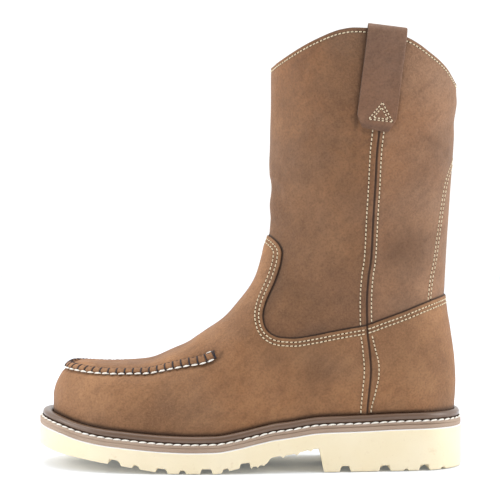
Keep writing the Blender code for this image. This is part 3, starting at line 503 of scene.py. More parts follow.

# %% [markdown]
# ## Creases placed one by one
# Worn-in leather is never even. Where the photo shows a soft fold or swelling, one row below places it: a
# line seen from the side, its width, its height (below zero for a trough) and the side of the boot that
# carries it. Sculpting would give the same forms, but rows can be read, moved and compared with the photo.

# %% Creases
# Each: side of the boot (-1 outer, 1 inner, 0 both), width, height, points (x, z) along it
CREASES = [
    (0, 7.0, 0.9, [(4, 176), (14, 186), (30, 190)]),
    (0, 6.0, -0.8, [(6, 192), (22, 203), (40, 208)]),
    (0, 8.0, 0.6, [(12, 214), (30, 224), (52, 224)]),
    (0, 9.0, -0.7, [(-46, 88), (-30, 78), (-16, 62)]),
    (0, 8.0, 0.7, [(-34, 96), (-14, 84), (0, 66)]),
    (0, 9.0, -0.6, [(-20, 108), (-2, 98), (12, 84)]),
    (0, 6.0, 0.5, [(-70, 56), (-48, 50), (-22, 48)]),
    (-1, 7.0, 0.9, [(118, 244), (132, 252), (146, 262)]),
    (-1, 6.0, -0.8, [(112, 232), (128, 238), (144, 246)]),
    (-1, 6.0, 0.8, [(44, 238), (56, 246), (68, 244)]),
    (-1, 7.0, -0.7, [(40, 226), (56, 234), (72, 230)]),
    (-1, 10.0, 0.8, [(24, 148), (44, 140), (70, 142)]),
    (-1, 9.0, -0.6, [(30, 130), (52, 122), (76, 126)]),
    (-1, 8.0, 0.6, [(96, 128), (110, 136), (124, 150)]),
    (-1, 9.0, -0.7, [(92, 150), (106, 160), (122, 168)]),
    (-1, 5.0, 0.5, [(-36, 36), (-14, 33), (8, 36)]),
    (-1, 5.0, -0.5, [(-40, 42), (-16, 39), (10, 43)]),
    (-1, 8.0, 0.6, [(96, 60), (112, 70), (128, 72)]),
    (-1, 7.0, -0.5, [(98, 78), (114, 86), (130, 86)]),
    (-1, 1.6, -0.40, [(54, 230), (60, 228.5), (66, 226)]),
    (-1, 2.4, 0.55, [(16, 208), (21, 204), (26, 196)]),
    (-1, 2.4, -0.35, [(13, 204), (18, 200), (22, 193)]),
    (-1, 2.6, 0.50, [(122, 242), (131, 236), (140, 229)]),
    (-1, 2.2, -0.40, [(118, 238), (128, 232), (138, 224)]),
    (-1, 2.0, -0.40, [(-36, 49), (-20, 47.5), (-6, 50)]),
    (-1, 1.8, -0.30, [(-28, 55), (-12, 53), (4, 56)]),
    (-1, 2.6, -0.40, [(-30, 100), (-20, 92), (-14, 82)]),
    (-1, 2.4, 0.40, [(-26, 104), (-15, 95), (-9, 84)]),
    (-1, 2.2, 0.35, [(96, 104), (108, 110), (122, 111)]),
    (1, 8.0, 0.8, [(30, 150), (52, 142), (76, 146)]),
    (1, 8.0, -0.7, [(36, 130), (58, 124), (80, 130)]),
    (1, 7.0, 0.8, [(104, 180), (120, 190), (136, 206)]),
    (1, 7.0, -0.7, [(98, 166), (116, 174), (132, 188)]),
    (1, 8.0, 0.6, [(40, 232), (60, 240), (80, 236)]),
    (1, 5.0, -0.5, [(-40, 40), (-14, 37), (12, 42)]),
]


# Darker, oilier places: side of the boot, x, z, radius and strength
STAINS = [
    (-1, 25, 259, 7, 0.22), (-1, 55, 226, 20, 0.16), (-1, 34, 160, 22, 0.16), (-1, 76, 150, 12, 0.12),
    (-1, 70, 200, 14, 0.10), (-1, -8, 62, 16, 0.14), (-1, 20, 82, 14, 0.12), (-1, -60, 62, 11, 0.09),
    (-1, 46, 68, 24, 0.34), (-1, 110, 157, 22, 0.30), (-1, 138, 225, 16, 0.16), (-1, 30, 118, 18, 0.10),
    (-1, -42, 46, 9, 0.10), (-1, 118, 150, 13, 0.10), (-1, 112, 66, 20, 0.16), (-1, 118, 208, 10, 0.08),
    (1, 40, 250, 16, 0.14), (1, 60, 170, 22, 0.12), (1, 110, 210, 14, 0.10), (1, -30, 60, 16, 0.10),
]


def stain_shade(p):
    """How dark the stains make each point of a panel."""
    shade = np.zeros(len(p["point"]))
    for side, x, z, radius, strength in STAINS:
        gap = np.linalg.norm(p["point"][:, [0, 2]] - (x, z), axis=1)
        shade += strength * bell(gap, radius) * (p["point"][:, 1] * side > 0)
    return shade


def strap_painted_shadow(p):
    """The strap's shadow, painted on the leather just beside and below it."""
    x, z = p["point"][:, 0], p["point"][:, 2]
    middle = STRAP_PLACE * LENGTH + STRAP_LEAN * (z - COLLAR_HEIGHT)
    before = middle - STRAP_WIDTH / 2 - x
    beyond = x - middle - STRAP_WIDTH / 2
    tall = ease(z, STRAP_TAIL_Z - 2, STRAP_TAIL_Z + 4)
    under = 0.35 * bell(z - STRAP_TAIL_Z + 1.0, 1.6) * (1 - ease(np.abs(x - middle), 7, 11))
    return tall * (0.55 * bell(before, 1.8) + 0.25 * bell(beyond, 1.6)) + under


def crease_height(surface):
    point = surface["point"]
    middle = np.where(point[:, 2] < 110, centre_line(point[:, 0]), 0.0)
    outer_share = ease(middle - point[:, 1], -6, 6)
    height = np.zeros(len(point))
    for side, width, rise, rows in CREASES:
        line = smooth_line(rows, 12)
        distance = np.full(len(point), 1e9)
        for a, b in zip(line[:-1], line[1:]):
            d = b - a
            away = point[:, [0, 2]] - a
            share = np.clip(away @ d / (d @ d), 0, 1)
            distance = np.minimum(distance, np.linalg.norm(away - share[:, None] * d, axis=1))
        part = {-1: outer_share, 0: 1.0, 1: 1 - outer_share}[side]
        height += rise * bell(distance, width) * part
    free = ease(surface["sole"], 12, 22) * ease(surface["collar"], 3, 16)
    return height * free * (1 - 0.7 * bell(surface["vamp"], 5)) * (1 - 0.6 * bell(surface["seam"], 7))


BASE["crease"] = crease_height(BASE)
print("crease heights, mm:", BASE["crease"].min().round(2), "to", BASE["crease"].max().round(2))

# %% [markdown]
# ## The gathered toe seam
# Round the toe a flat plug meets a longer wall of leather, and the extra length is puckered into the seam:
# a rolled ridge with a white running stitch under it and dark cross stitches over it. The seam's line is
# dropped from above onto the surface. The leather beside it sinks, and small waves run out from it.

# %% Path of the toe seam
def tree_of(surface, height):
    points = surface["point"] + surface["normal"] * np.asarray(height)[:, None]
    return BVHTree.FromPolygons(points.tolist(), surface["tris"].tolist())


VAMP_TREE = tree_of(BASE, LAYER * (1 - BASE["layer"]))


def toe_seam_path(step):
    rows = np.vstack([TOE_SEAM[::-1] * (1, -1), TOE_SEAM[1:]])
    plan = resample(smooth_line(rows, 400), 400)
    places, ups = [], []
    for x, y in plan:
        hit, up, _, _ = VAMP_TREE.ray_cast(Vector((x, float(centre_line(x)) + y, 200.0)), Vector((0, 0, -1)))
        places.append(hit[:])
        ups.append((up if up.z > 0 else -up)[:])
    places, ups = np.array(places), np.array(ups)
    total = lengths_along(places)[-1]
    count = int(total / step) + 1
    both = resample(np.hstack([places, ups * 1e-6]), count)
    place, up = both[:, :3], both[:, 3:]
    for _ in range(12):
        up[1:-1] = (up[:-2] + up[1:-1] + up[2:]) / 3
        place[1:-1] = (place[:-2] + 2 * place[1:-1] + place[2:]) / 4
    up /= np.linalg.norm(up, axis=1, keepdims=True)
    ahead = np.gradient(place, axis=0)
    ahead /= np.linalg.norm(ahead, axis=1, keepdims=True)
    across = np.cross(up, ahead)
    across /= np.linalg.norm(across, axis=1, keepdims=True)
    plug_middle = np.array([-90.0, float(centre_line(-90.0)), place[:, 2].mean()])
    inward = np.sign(np.einsum("ij,ij->i", across, plug_middle - place).sum())
    return place, np.cross(ahead, across * inward) * inward, ahead, across * inward


SEAM_STEP, STITCH_PITCH = 0.4, 6.0
SEAM_PLACE, SEAM_UP, SEAM_AHEAD, SEAM_INWARD = toe_seam_path(SEAM_STEP)
if (SEAM_UP[:, 2] < 0).mean() > 0.5:
    SEAM_UP = -SEAM_UP
SEAM_TOTAL, SEAM_END_GAP = lengths_along(SEAM_PLACE)[-1], 1.6
SEWN_LENGTH = SEAM_TOTAL - 2 * SEAM_END_GAP
CROSSING_COUNT = int(round(SEWN_LENGTH / STITCH_PITCH))
CROSSING_STEP = SEWN_LENGTH / CROSSING_COUNT


def crossing_phase(along):
    """0 at each cross thread of the toe seam, rising to 1 at the next."""
    return ((np.asarray(along, float) - SEAM_END_GAP) / CROSSING_STEP) % 1.0


print("toe seam length, mm:", round(SEAM_TOTAL, 1), "cross threads:", CROSSING_COUNT + 1)

# %% Leather beside the toe seam
def toe_fields(surface):
    """Distance from the toe seam, positive on the plug, and the place along it."""
    finder = KDTree(len(SEAM_PLACE))
    for k, place in enumerate(SEAM_PLACE):
        finder.insert(place, k)
    finder.balance()
    point = surface["point"]
    distance, along = np.full(len(point), 60.0), np.zeros(len(point))
    for i in np.flatnonzero((point[:, 0] < 20) & (point[:, 2] > 20)):
        _, k, gap = finder.find(point[i])
        side = SEAM_INWARD[k] @ (point[i] - SEAM_PLACE[k])
        distance[i] = gap if side > 0 else -gap
        along[i] = k * SEAM_STEP
    return distance, along


BASE["toe"], BASE["toe_along"] = toe_fields(BASE)


def toe_height(distance, along):
    inside = ease(along, 1, 7) * ease(SEAM_TOTAL - along, 1, 7)
    wave = np.cos(2 * math.pi * crossing_phase(along))
    wall = -0.75 * bell(distance + 4.4, 1.9) + 0.30 * wave * bell(distance + 4.0, 3.2)
    plug = -0.6 * bell(distance - 3.9, 1.5) + 0.25 * wave * bell(distance - 3.6, 2.2)
    return np.where(distance < 0, wall, plug) * inside + 0.6 * ease(distance, 3.5, 11) * inside


BASE["toe_rise"] = toe_height(BASE["toe"], BASE["toe_along"])
print("toe relief, mm:", BASE["toe_rise"].min().round(2), "to", BASE["toe_rise"].max().round(2))

# %% [markdown]
# ## Cutting the panels
# A panel's edge must follow its seam exactly, not the grid's steps. A Boolean would do it, but on a thin
# open surface it is slow and fragile. Each triangle that a line crosses is split along it instead, and every
# field is carried to the new points, so the panel ends on a clean line with its distances intact.

# %% Splitting and choosing triangles
def split_at(surface, field, level):
    """The surface with points added wherever the field passes the level."""
    value = surface[field] - level
    value = np.where(np.abs(value) < 1e-5, 1e-5, value)
    tris = surface["tris"]
    above = value[tris] > 0
    count = above.sum(axis=1)
    crossed = (count == 1) | (count == 2)
    if not crossed.any():
        return surface
    cut, above = tris[crossed], above[crossed]
    lone = np.argmax(above == (count[crossed] == 1)[:, None], axis=1)
    order = (lone[:, None] + np.arange(3)) % 3
    a, b, c = np.take_along_axis(cut, order, axis=1).T
    pairs = np.sort(np.vstack([np.column_stack([a, b]), np.column_stack([a, c])]), axis=1)
    unique, place = np.unique(pairs, axis=0, return_inverse=True)
    place = place.reshape(-1) + len(value)
    first, second = unique.T
    share = value[first] / (value[first] - value[second])
    made = {}
    for name, values in surface.items():
        if name != "tris":
            weight = share[:, None] if values.ndim == 2 else share
            made[name] = np.concatenate([values, values[first] + (values[second] - values[first]) * weight])
    made[field][len(value):] = level
    ab, ac = place[: len(a)], place[len(a):]
    new = [np.column_stack(t) for t in ((a, ab, ac), (ab, b, c), (ab, c, ac))]
    made["tris"] = np.vstack([tris[~crossed], *new])
    return made


def keep(surface, chosen):
    """Only the triangles whose middle passes the test, with unused points dropped."""
    middle = {name: v[surface["tris"]].mean(axis=1) for name, v in surface.items() if name != "tris"}
    tris = surface["tris"][chosen(middle)]
    used, index = np.unique(tris, return_inverse=True)
    made = {name: v[used] for name, v in surface.items() if name != "tris"}
    made["tris"] = index.reshape(tris.shape)
    return made


def moved(surface, height):
    made = dict(surface)
    made["point"] = surface["point"] + surface["normal"] * np.asarray(height)[:, None]
    return made


def border_edges(surface, fields_at):
    """Edges with one triangle whose two points both lie on a line, given as (field, level) pairs."""
    tris = surface["tris"]
    edges = np.vstack([tris[:, [0, 1]], tris[:, [1, 2]], tris[:, [2, 0]]])
    _, place, count = np.unique(np.sort(edges, axis=1), axis=0, return_inverse=True, return_counts=True)
    edges = edges[count[place.reshape(-1)] == 1]
    on_line = np.zeros(len(edges), bool)
    for field, level in fields_at:
        on_line |= (np.abs(surface[field][edges] - level) < 2e-5).all(axis=1)
    return edges[on_line]


def edge_strip(surface, edges, profile):
    """Quads hanging from border edges: each profile row is (depth along the surface's inside, rise)."""
    used, index = np.unique(edges, return_inverse=True)
    edges = index.reshape(edges.shape)
    point, normal = surface["point"][used], surface["normal"][used]
    rows = [point - normal * depth + np.array([0, 0, rise]) for depth, rise in profile]
    faces = []
    for k in range(len(rows) - 1):
        low, high = k * len(used), (k + 1) * len(used)
        faces += [(low + b, low + a, high + a, high + b) for a, b in edges]
    return np.vstack(rows), faces


print("panel tools ready")

# %% [markdown]
# Four panels are cut: the shaft's front and back, the vamp and the counter. The vamp and counter lie over
# the shaft, and each front panel laps over the back one at the side seam. An edge is lowered a little over
# its last millimetre, as a skived edge is, and a strip of dark cut leather closes it.

# %% The four panels
cut = split_at(BASE, "collar", 0.0)
cut = split_at(cut, "sole", 3.2)
cut = keep(cut, lambda at: (at["collar"] > 0) & (at["sole"] > 3.2))
for field, level in (("vamp", 0.0), ("vamp", 0.9), ("vamp", -4.0), ("seam", 0.0), ("seam", 0.9),
                     ("seam", -1.9), ("seam", -1.1), ("vamp", -1.5), ("vamp", -0.7)):
    cut = split_at(cut, field, level)


def skive(distance):
    return -0.40 * (1 - ease(distance, 0, 0.95))


def seam_lift(seam):
    """The seam allowance under both panels, and the roll of the front panel's folded edge."""
    return 0.55 * (1 - ease(np.abs(seam), 4.6, 7.0)) + 0.60 * bell(seam - 1.2, 0.95)


def panel_height(p, over, front):
    lift = seam_lift(p["seam"]) + (0.5 * (1 - ease(p["seam"], 6, 12)) if front else 0.0)
    if not front:
        lift = lift - 0.60 * bell(p["seam"] - 1.2, 0.95) - 0.35 * bell(p["seam"] + 0.5, 0.9)
    stitched = -0.22 * (bell(p["seam"] - 4.0, 0.9) if front else bell(p["seam"] + 3.8, 0.9))
    if over:
        stitched = stitched - 0.22 * (bell(p["vamp"] - 2.5, 0.8) + bell(p["vamp"] - 5.2, 0.8))
        height = LAYER * (1 - p["layer"]) + skive(p["vamp"]) + p["toe_rise"] + 0.25 * bell(p["vamp"] - 8, 4)
    else:
        stitched = stitched - 0.25 * bell(p["collar"] - 2.5, 0.9)
        height = -LAYER * p["layer"] - 0.25 * bell(p["vamp"] + 1.5, 2.5) - 0.3 * (1 - ease(p["collar"], 0, 0.9))
    if front:
        height = height + skive(p["seam"])
    return height + lift * ease(p["collar"], -4, 2) + stitched + p["crease"]


PANELS = {}
for name, over, front in (
    ("shaft_front", False, True), ("shaft_back", False, False), ("vamp", True, True), ("counter", True, False),
):
    # The piece underneath runs 0.9 mm on below the one that laps over it
    panel = keep(cut, lambda at: (
        ((at["vamp"] > 0) if over else (at["vamp"] < 0.9)) & ((at["seam"] > 0) if front else (at["seam"] < 0.9))
    ))
    PANELS[name] = moved(panel, panel_height(panel, over, front))
print({name: len(p["tris"]) for name, p in PANELS.items()})

# %% [markdown]
# Each panel becomes one piece: its face and its cut edges. The shade attribute gathers painted shade and
# soil: painted shade a little beside each seam, in the side seam's crack, under lapped edges and in crease
# troughs, more just above the welt, and in the trough beside the toe seam, the strap's painted shadow, and
# the stains.

# %% Panel meshes
def painted_shade_and_soil(p, over, front):
    # Painted shade along the stitch rows of the side seam, and in its crack where the front panel laps over
    seams = 0.16 * bell(np.abs(p["seam"]) - 4.4, 1.6)
    if front:
        seams = seams + 0.25 * (1 - ease(p["seam"], 0.0, 0.8))
    else:
        seams = seams + 0.9 * (1 - ease(-p["seam"], 1.0, 1.9))
    # Painted shade along the lapped edges, between their stitch rows, and on the shaft just under them
    if over:
        edge = 0.25 * bell(p["vamp"], 0.8) + 0.26 * bell(p["vamp"] - 3.8, 2.0)
    else:
        edge = 0.85 * (1 - ease(-p["vamp"], 0.6, 1.6)) + 0.22 * bell(p["vamp"], 5.0)
    # Painted shade where the leather meets the welt's bead, and a wider darkening above the welt, partly soil
    low = 0.80 * (1 - ease(p["sole"], 11.0, 14.5)) + 0.14 * (1 - ease(p["sole"], 12, 34))
    # Painted shade in the troughs on both sides of the toe seam
    toe = 0.45 * bell(p["toe"] + 4.2, 1.5) + 0.25 * bell(p["toe"] - 3.8, 1.5)
    # Painted shade in crease troughs
    crest = 0.12 * np.clip(-p["crease"], 0, 1)
    # Painted shade along the collar's stitch row
    rim = 0.12 * bell(p["collar"] - 2.5, 1.4)
    # The stains are real soil; the strap's shadow is painted
    return np.clip(seams + edge + low + (toe if over else 0.0) + crest + rim + stain_shade(p) + strap_painted_shadow(p), 0, 0.9)


def panel_piece(name, panel, over, front, leather_look):
    points, faces = [panel["point"]], [panel["tris"]]
    shade, count = [painted_shade_and_soil(panel, over, front)], len(panel["point"])
    material = [np.zeros(len(panel["tris"]), int)]
    strips = []
    if over:
        strips.append(([("vamp", 0.0)], [(0, 0), (0.5, 0), (1.5, 0)]))
    if front:
        strips.append(([("seam", 0.0)], [(0, 0), (0.5, 0), (1.6, 0)]))
    if not over:
        strips.append(([("collar", 0.0)], [(0, 0), (0.45, 0.35), (1.0, 0.45), (1.5, 0.3), (1.9, -0.2), (2.1, -1.5)]))
    for fields_at, profile in strips:
        edges = border_edges(panel, fields_at)
        if not len(edges):
            continue
        rows, quads = edge_strip(panel, edges, profile)
        points.append(rows)
        faces.append([tuple(v + count for v in quad) for quad in quads])
        shade.append(np.full(len(rows), 0.15))
        material.append(np.ones(len(quads), int))
        count += len(rows)
    return mesh_piece(
        name, np.vstack(points), [face for part in faces for face in part], [leather_look, CUT_EDGE],
        np.concatenate(shade), np.concatenate(material),
    )


for name, look in (("shaft_front", SHAFT), ("shaft_back", SHAFT_BACK_PAINTED_LIGHTER), ("vamp", TAN), ("counter", TAN)):
    over, front = name in ("vamp", "counter"), name in ("shaft_front", "vamp")
    piece = belongs(panel_piece(name, PANELS[name], over, front, look), "tan_leather")
    if name == "shaft_front":
        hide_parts("upper")
    print(name, len(piece.data.polygons))

# %% [markdown]
# Inside, the shaft and foot have a lining. It is the same last, set in by the thickness of the wall, so it
# is seen through the collar and never shows through the outer leather.

# %% Lining
inner_grid, inner_normal, inner_layer = last_grid(150, 132)
inner = base_surface(inner_grid, inner_normal, inner_layer)
inner = split_at(inner, "collar", 0.3)
inner = split_at(inner, "sole", 3.4)
inner = keep(inner, lambda at: (at["collar"] > 0.3) & (at["sole"] > 3.4))
inner = moved(inner, -SHAFT_WALL - LAYER * inner["layer"] + 0.1)
lining = mesh_piece("lining", inner["point"], inner["tris"], [LINING], np.zeros(len(inner["point"])))
belongs(lining, "tan_leather")
print("lining triangles:", len(lining.data.polygons))

# %% [markdown]
# ## Rows of stitches
# Stitch rows follow the panels' edges at a fixed distance, so each row is a contour of a distance field:
# the line where the field has one value. That keeps a row parallel to its edge round every bend. A curve
# with instances would also work, but the surface's own direction is needed at each stitch to seat it.

# %% Contour lines
def contour(surface, field, level, allowed):
    """Lines where the field has this value: lists of (point, direction outward) with the field `allowed` true."""
    value = surface[field] - level
    value = np.where(np.abs(value) < 1e-6, 1e-6, value)
    tris = surface["tris"]
    above = value[tris] > 0
    crossed = tris[(above.sum(axis=1) % 3) != 0]
    ends = {}
    for tri in crossed.tolist():
        keys = []
        for i, j in ((tri[0], tri[1]), (tri[1], tri[2]), (tri[2], tri[0])):
            if (value[i] > 0) != (value[j] > 0):
                keys.append((min(i, j), max(i, j)))
        ends.setdefault(keys[0], []).append(keys[1])
        ends.setdefault(keys[1], []).append(keys[0])
    lines, left = [], set(ends)
    starts = [key for key in ends if len(ends[key]) == 1] + list(ends)
    for start in starts:
        if start not in left:
            continue
        line, here = [start], start
        left.discard(start)
        while True:
            following = [key for key in ends[here] if key in left]
            if not following:
                break
            here = following[0]
            left.discard(here)
            line.append(here)
        if len(line) > 3:
            pairs = np.array(line)
            share = (value[pairs[:, 0]] / (value[pairs[:, 0]] - value[pairs[:, 1]]))[:, None]
            read = lambda name: surface[name][pairs[:, 0]] * (1 - share[:, 0]) + surface[name][pairs[:, 1]] * share[:, 0]
            place = surface["point"][pairs[:, 0]] * (1 - share) + surface["point"][pairs[:, 1]] * share
            up = surface["normal"][pairs[:, 0]] * (1 - share) + surface["normal"][pairs[:, 1]] * share
            good = allowed({name: read(name) for name in ("vamp", "seam", "collar", "sole", "stay")})
            lines += split_runs(place, up, good)
    return lines


def split_runs(place, up, good):
    """The stretches of a line where good is true."""
    runs, begin = [], None
    for k, fine in enumerate([*good, False]):
        if fine and begin is None:
            begin = k
        elif not fine and begin is not None:
            if k - begin > 3:
                runs.append((place[begin:k], up[begin:k]))
            begin = None
    return runs


print("contour tools ready")

# %% Stitch meshes
def frames_along(place, up, pitch, phase=0.5):
    """Evenly spaced places on a line with their forward, sideways and outward directions."""
    along = lengths_along(place)
    count = max(1, int(round(along[-1] / pitch)))
    wanted = (np.arange(count) + phase) * along[-1] / count
    wanted = wanted[wanted < along[-1]]
    read = lambda rows, at: np.column_stack([np.interp(at, along, c) for c in rows.T])
    spot, out = read(place, wanted), read(up, wanted)
    forward = read(place, np.minimum(wanted + 0.6, along[-1])) - read(place, np.maximum(wanted - 0.6, 0))
    forward /= np.maximum(np.linalg.norm(forward, axis=1, keepdims=True), 1e-9)
    out -= (out * forward).sum(axis=1, keepdims=True) * forward
    out /= np.maximum(np.linalg.norm(out, axis=1, keepdims=True), 1e-9)
    return spot, forward, np.cross(out, forward), out


def repeat_form(frames, form, faces):
    """Copies of a small form, given as (forward, sideways, outward) rows, set at every frame."""
    spot, forward, side, out = frames
    points = (
        spot[:, None] + forward[:, None] * form[None, :, :1]
        + side[:, None] * form[None, :, 1:2] + out[:, None] * form[None, :, 2:3]
    )
    shift = (np.arange(len(spot)) * len(form))[:, None, None]
    return points.reshape(-1, 3), (np.asarray(faces)[None] + shift).reshape(-1, np.asarray(faces).shape[1])


def stitch_form(length, width, height, slant=0.0, sink=0.15, rings=6, round_count=7):
    """A plump stitch: thick in the middle, pulled down into the leather at both ends."""
    rows = []
    for t in np.linspace(-1, 1, rings):
        thick = max(0.28, (1 - abs(t) ** 2.6)) ** 0.6
        for turn in np.linspace(0, 2 * math.pi, round_count, endpoint=False):
            rise = height / 2 * thick * math.sin(turn) + height * 0.32 * (1 - 1.5 * t * t) - sink
            rows.append((t * length / 2, width / 2 * thick * math.cos(turn) + slant * t, rise))
    faces = grid_quads(rings, round_count).tolist()
    form = np.array(rows + [(-length / 2, -slant, -sink), (length / 2, slant, -sink)])
    first, last = len(rows), len(rows) + 1
    for j in range(round_count):
        following = (j + 1) % round_count
        faces.append([first, j, following, following])
        top = (rings - 1) * round_count
        faces.append([last, top + following, top + j, top + j])
    return form, np.array(faces)


def hole_form(radius, round_count=8):
    """A dark dimple of painted shade where the thread sinks in, drawn out a little along the row."""
    turns = np.linspace(0, 2 * math.pi, round_count, endpoint=False)
    rim = np.column_stack([1.25 * radius * np.cos(turns), radius * np.sin(turns), np.full(round_count, 0.02)])
    form = np.vstack([rim, (0.0, 0.0, 0.10)])
    faces = np.array([(j, (j + 1) % round_count, round_count, round_count) for j in range(round_count)])
    return form, faces


class Gathered:
    """Many small forms collected into one mesh."""

    def __init__(self):
        self.points, self.faces, self.count = [], [], 0

    def add(self, points, faces):
        self.points.append(points)
        self.faces += [tuple(dict.fromkeys(int(v) + self.count for v in face)) for face in faces]
        self.count += len(points)

    def row(self, line, pitch, form, phase=0.5):
        frames = frames_along(line[0], line[1], pitch, phase)
        self.add(*repeat_form(frames, *form))

    def piece(self, name, material):
        return mesh_piece(name, np.vstack(self.points), self.faces, [material])


thread, painted_hole_shadows = Gathered(), Gathered()
FINE_STITCH, FINE_HOLE, FINE_PITCH = stitch_form(2.55, 0.92, 0.75, 0.10), hole_form(0.44), 3.05
print("one stitch has", len(FINE_STITCH[1]), "faces")

# %% [markdown]
# The rows are: two inside the vamp's and counter's edge, one on each side of the side seam, one under the
# collar, and a pair that marks the back stay. The rear row of the side seam swings wide over the counter.

# %% Placing the rows
def sew(lines, pitch=FINE_PITCH):
    for line in lines:
        if lengths_along(line[0])[-1] > 3 * pitch:
            thread.row(line, pitch, FINE_STITCH)
            painted_hole_shadows.row(line, pitch, FINE_HOLE, phase=0.0)


for name in ("vamp", "counter"):
    for level in (2.5, 5.2):
        sew(contour(PANELS[name], "vamp", level, lambda at: (np.abs(at["seam"]) > 0.8) & (at["sole"] > 12)))
sew(contour(PANELS["vamp"], "seam", 4.0, lambda at: (at["vamp"] > 6.2) & (at["sole"] > 12)))
sew(contour(PANELS["shaft_front"], "seam", 4.0, lambda at: (at["vamp"] < -0.8) & (at["collar"] > 3.5)))
sew(contour(PANELS["shaft_back"], "seam", -3.8, lambda at: (at["vamp"] < -0.8) & (at["collar"] > 3.5)))
rear = dict(PANELS["counter"])
swing = smooth_through(rear["point"][:, 2], [30, 41, 56, 68, 75, 86, 97, 106, 120], [3.0, 3.2, 5.2, 6.4, 6.4, 4.9, 3.6, 3.0, 3.0])
rear["stay"] = -rear["seam"] - swing
sew(contour(rear, "stay", 0.0, lambda at: (at["vamp"] > 6.2) & (at["sole"] > 12)))
for name in ("shaft_front", "shaft_back"):
    sew(contour(PANELS[name], "collar", 2.5, lambda at: at["collar"] > 0), 2.9)
for level in (0.0, -1.9):
    sew(contour(PANELS["shaft_back"], "stay", level, lambda at: (at["vamp"] < -0.8) & (at["collar"] > 5)))
print("thread points so far:", thread.count)

# %% [markdown]
# ## The toe seam's roll and its three threads
# The roll is a swept form whose height dips at every cross stitch, where the thread pulls it in. The white
# stitches run under it, the dark cross stitches climb over it, and short dark dashes lie on its far side.

# %% Roll of the toe seam
ROLL_HALF_WIDTH, ROLL_HEIGHT = 2.85, 2.1


def from_crossing(along):
    """Millimetres to the nearest cross thread."""
    phase = crossing_phase(along)
    return np.minimum(phase, 1 - phase) * CROSSING_STEP


def roll_height(along):
    ends = ease(along, 0, 1.6) * ease(SEAM_TOTAL - along, 0, 1.6)
    return ROLL_HEIGHT * (1 - 0.30 * bell(from_crossing(along), 0.75)) * (0.2 + 0.8 * ends)


def roll_point(along, turn, extra=0.0):
    """A point on the roll: turn 0 is its outer foot, pi its inner foot."""
    places = np.arange(len(SEAM_PLACE)) * SEAM_STEP
    read = lambda rows: np.column_stack([np.interp(along, places, c) for c in rows.T])
    middle, up, inward = read(SEAM_PLACE), read(SEAM_UP), read(SEAM_INWARD)
    height = roll_height(np.asarray(along, float)) + extra
    wide = ROLL_HALF_WIDTH + extra
    across = -np.cos(turn) * wide
    rise = np.sign(np.sin(turn)) * np.abs(np.sin(turn)) ** 0.8 * height
    return middle + inward * np.reshape(across, (-1, 1)) + up * np.reshape(rise, (-1, 1))


places = np.arange(len(SEAM_PLACE)) * SEAM_STEP
turns = np.linspace(-0.35, math.pi + 0.35, 15)
roll = np.stack([roll_point(places, np.full(len(places), turn)) for turn in turns], axis=1)
roll_faces = [tuple(q) for q in grid_quads(len(places), len(turns), closed=False)]
# Painted shade on the roll where each cross thread pulls it in, and along its feet on the leather
roll_painted_shade = (0.06 + 0.45 * bell(from_crossing(places), 0.8))[:, None] + 0.35 * bell(np.sin(turns), 0.35)[None]
for end in (0, len(places) - 1):
    roll_faces.append(tuple(range(end * len(turns), (end + 1) * len(turns))))
toe_roll = mesh_piece("toe_seam_roll", roll.reshape(-1, 3), roll_faces, [TAN], roll_painted_shade.reshape(-1))
belongs(toe_roll, "tan_leather")
print("roll faces:", len(toe_roll.data.polygons))

# %% Threads of the toe seam
def tube(points, radius, round_count=7):
    """A round thread through points, tapered at both ends."""
    points = np.asarray(points, float)
    ahead = np.gradient(points, axis=0)
    ahead /= np.linalg.norm(ahead, axis=1, keepdims=True)
    side = np.cross(ahead, [0.31, 0.52, 0.79])
    side /= np.linalg.norm(side, axis=1, keepdims=True)
    other = np.cross(ahead, side)
    turn = np.linspace(0, 2 * math.pi, round_count, endpoint=False)
    taper = np.ones(len(points))
    taper[[0, -1]] = 0.45
    ring = np.cos(turn)[None, :, None] * side[:, None] + np.sin(turn)[None, :, None] * other[:, None]
    made = points[:, None] + ring * (radius * taper)[:, None, None]
    faces = [tuple(q) for q in grid_quads(len(points), round_count)]
    faces += [tuple(range(round_count)), tuple(range((len(points) - 1) * round_count, len(points) * round_count))]
    return made.reshape(-1, 3), faces


white, dark = Gathered(), Gathered()
crossings = SEAM_END_GAP + CROSSING_STEP * np.arange(CROSSING_COUNT + 1)
foot = roll_point(places, np.zeros(len(places)), 0.55) + SEAM_UP * 0.1
inside = (places > SEAM_END_GAP) & (places < SEAM_TOTAL - SEAM_END_GAP)
white.row((foot[inside], SEAM_UP[inside] - 0.7 * SEAM_INWARD[inside]), CROSSING_STEP,
          stitch_form(5.0, 1.3, 1.2, 0.10, 0.1, rings=8))
for along in crossings:
    climb = np.linspace(-0.45, math.pi * 0.97, 11)
    lean = along + np.linspace(-0.35, 0.35, 11)
    dark.add(*tube(roll_point(lean, climb, 0.26), 0.48))
    dash = along + np.linspace(1.9, 4.1, 4)
    dark.add(*tube(roll_point(dash, np.full(4, math.pi * 0.72), 0.02), 0.22, 5))
# At each end the thread runs on over the roll and ends in a small loop of white on the plug
for end, step in ((crossings[0], 1), (crossings[-1], -1)):
    climb = np.linspace(-0.3, math.pi * 1.25, 11)
    dark.add(*tube(roll_point(end - np.linspace(0.6, 1.3, 11) * step, climb, 0.3), 0.42))
    loop_along = end + np.array([0.2, 1.6, 3.2, 4.6]) * step
    white.add(*tube(roll_point(loop_along, np.array([0.93, 0.80, 0.80, 0.93]) * math.pi, 0.35), 0.42))
print("white stitches and dark threads:", white.count, dark.count)

# %% [markdown]
# ## Pull straps
# Each strap is one length of leather folded over the collar and sewn down by a small triangle of stitches
# on its tail. It is swept as a flat band with rounded edges: from its tail on the outside, over the collar
# and down inside. A solidified plane would have sharp edges, and these are seen against white.

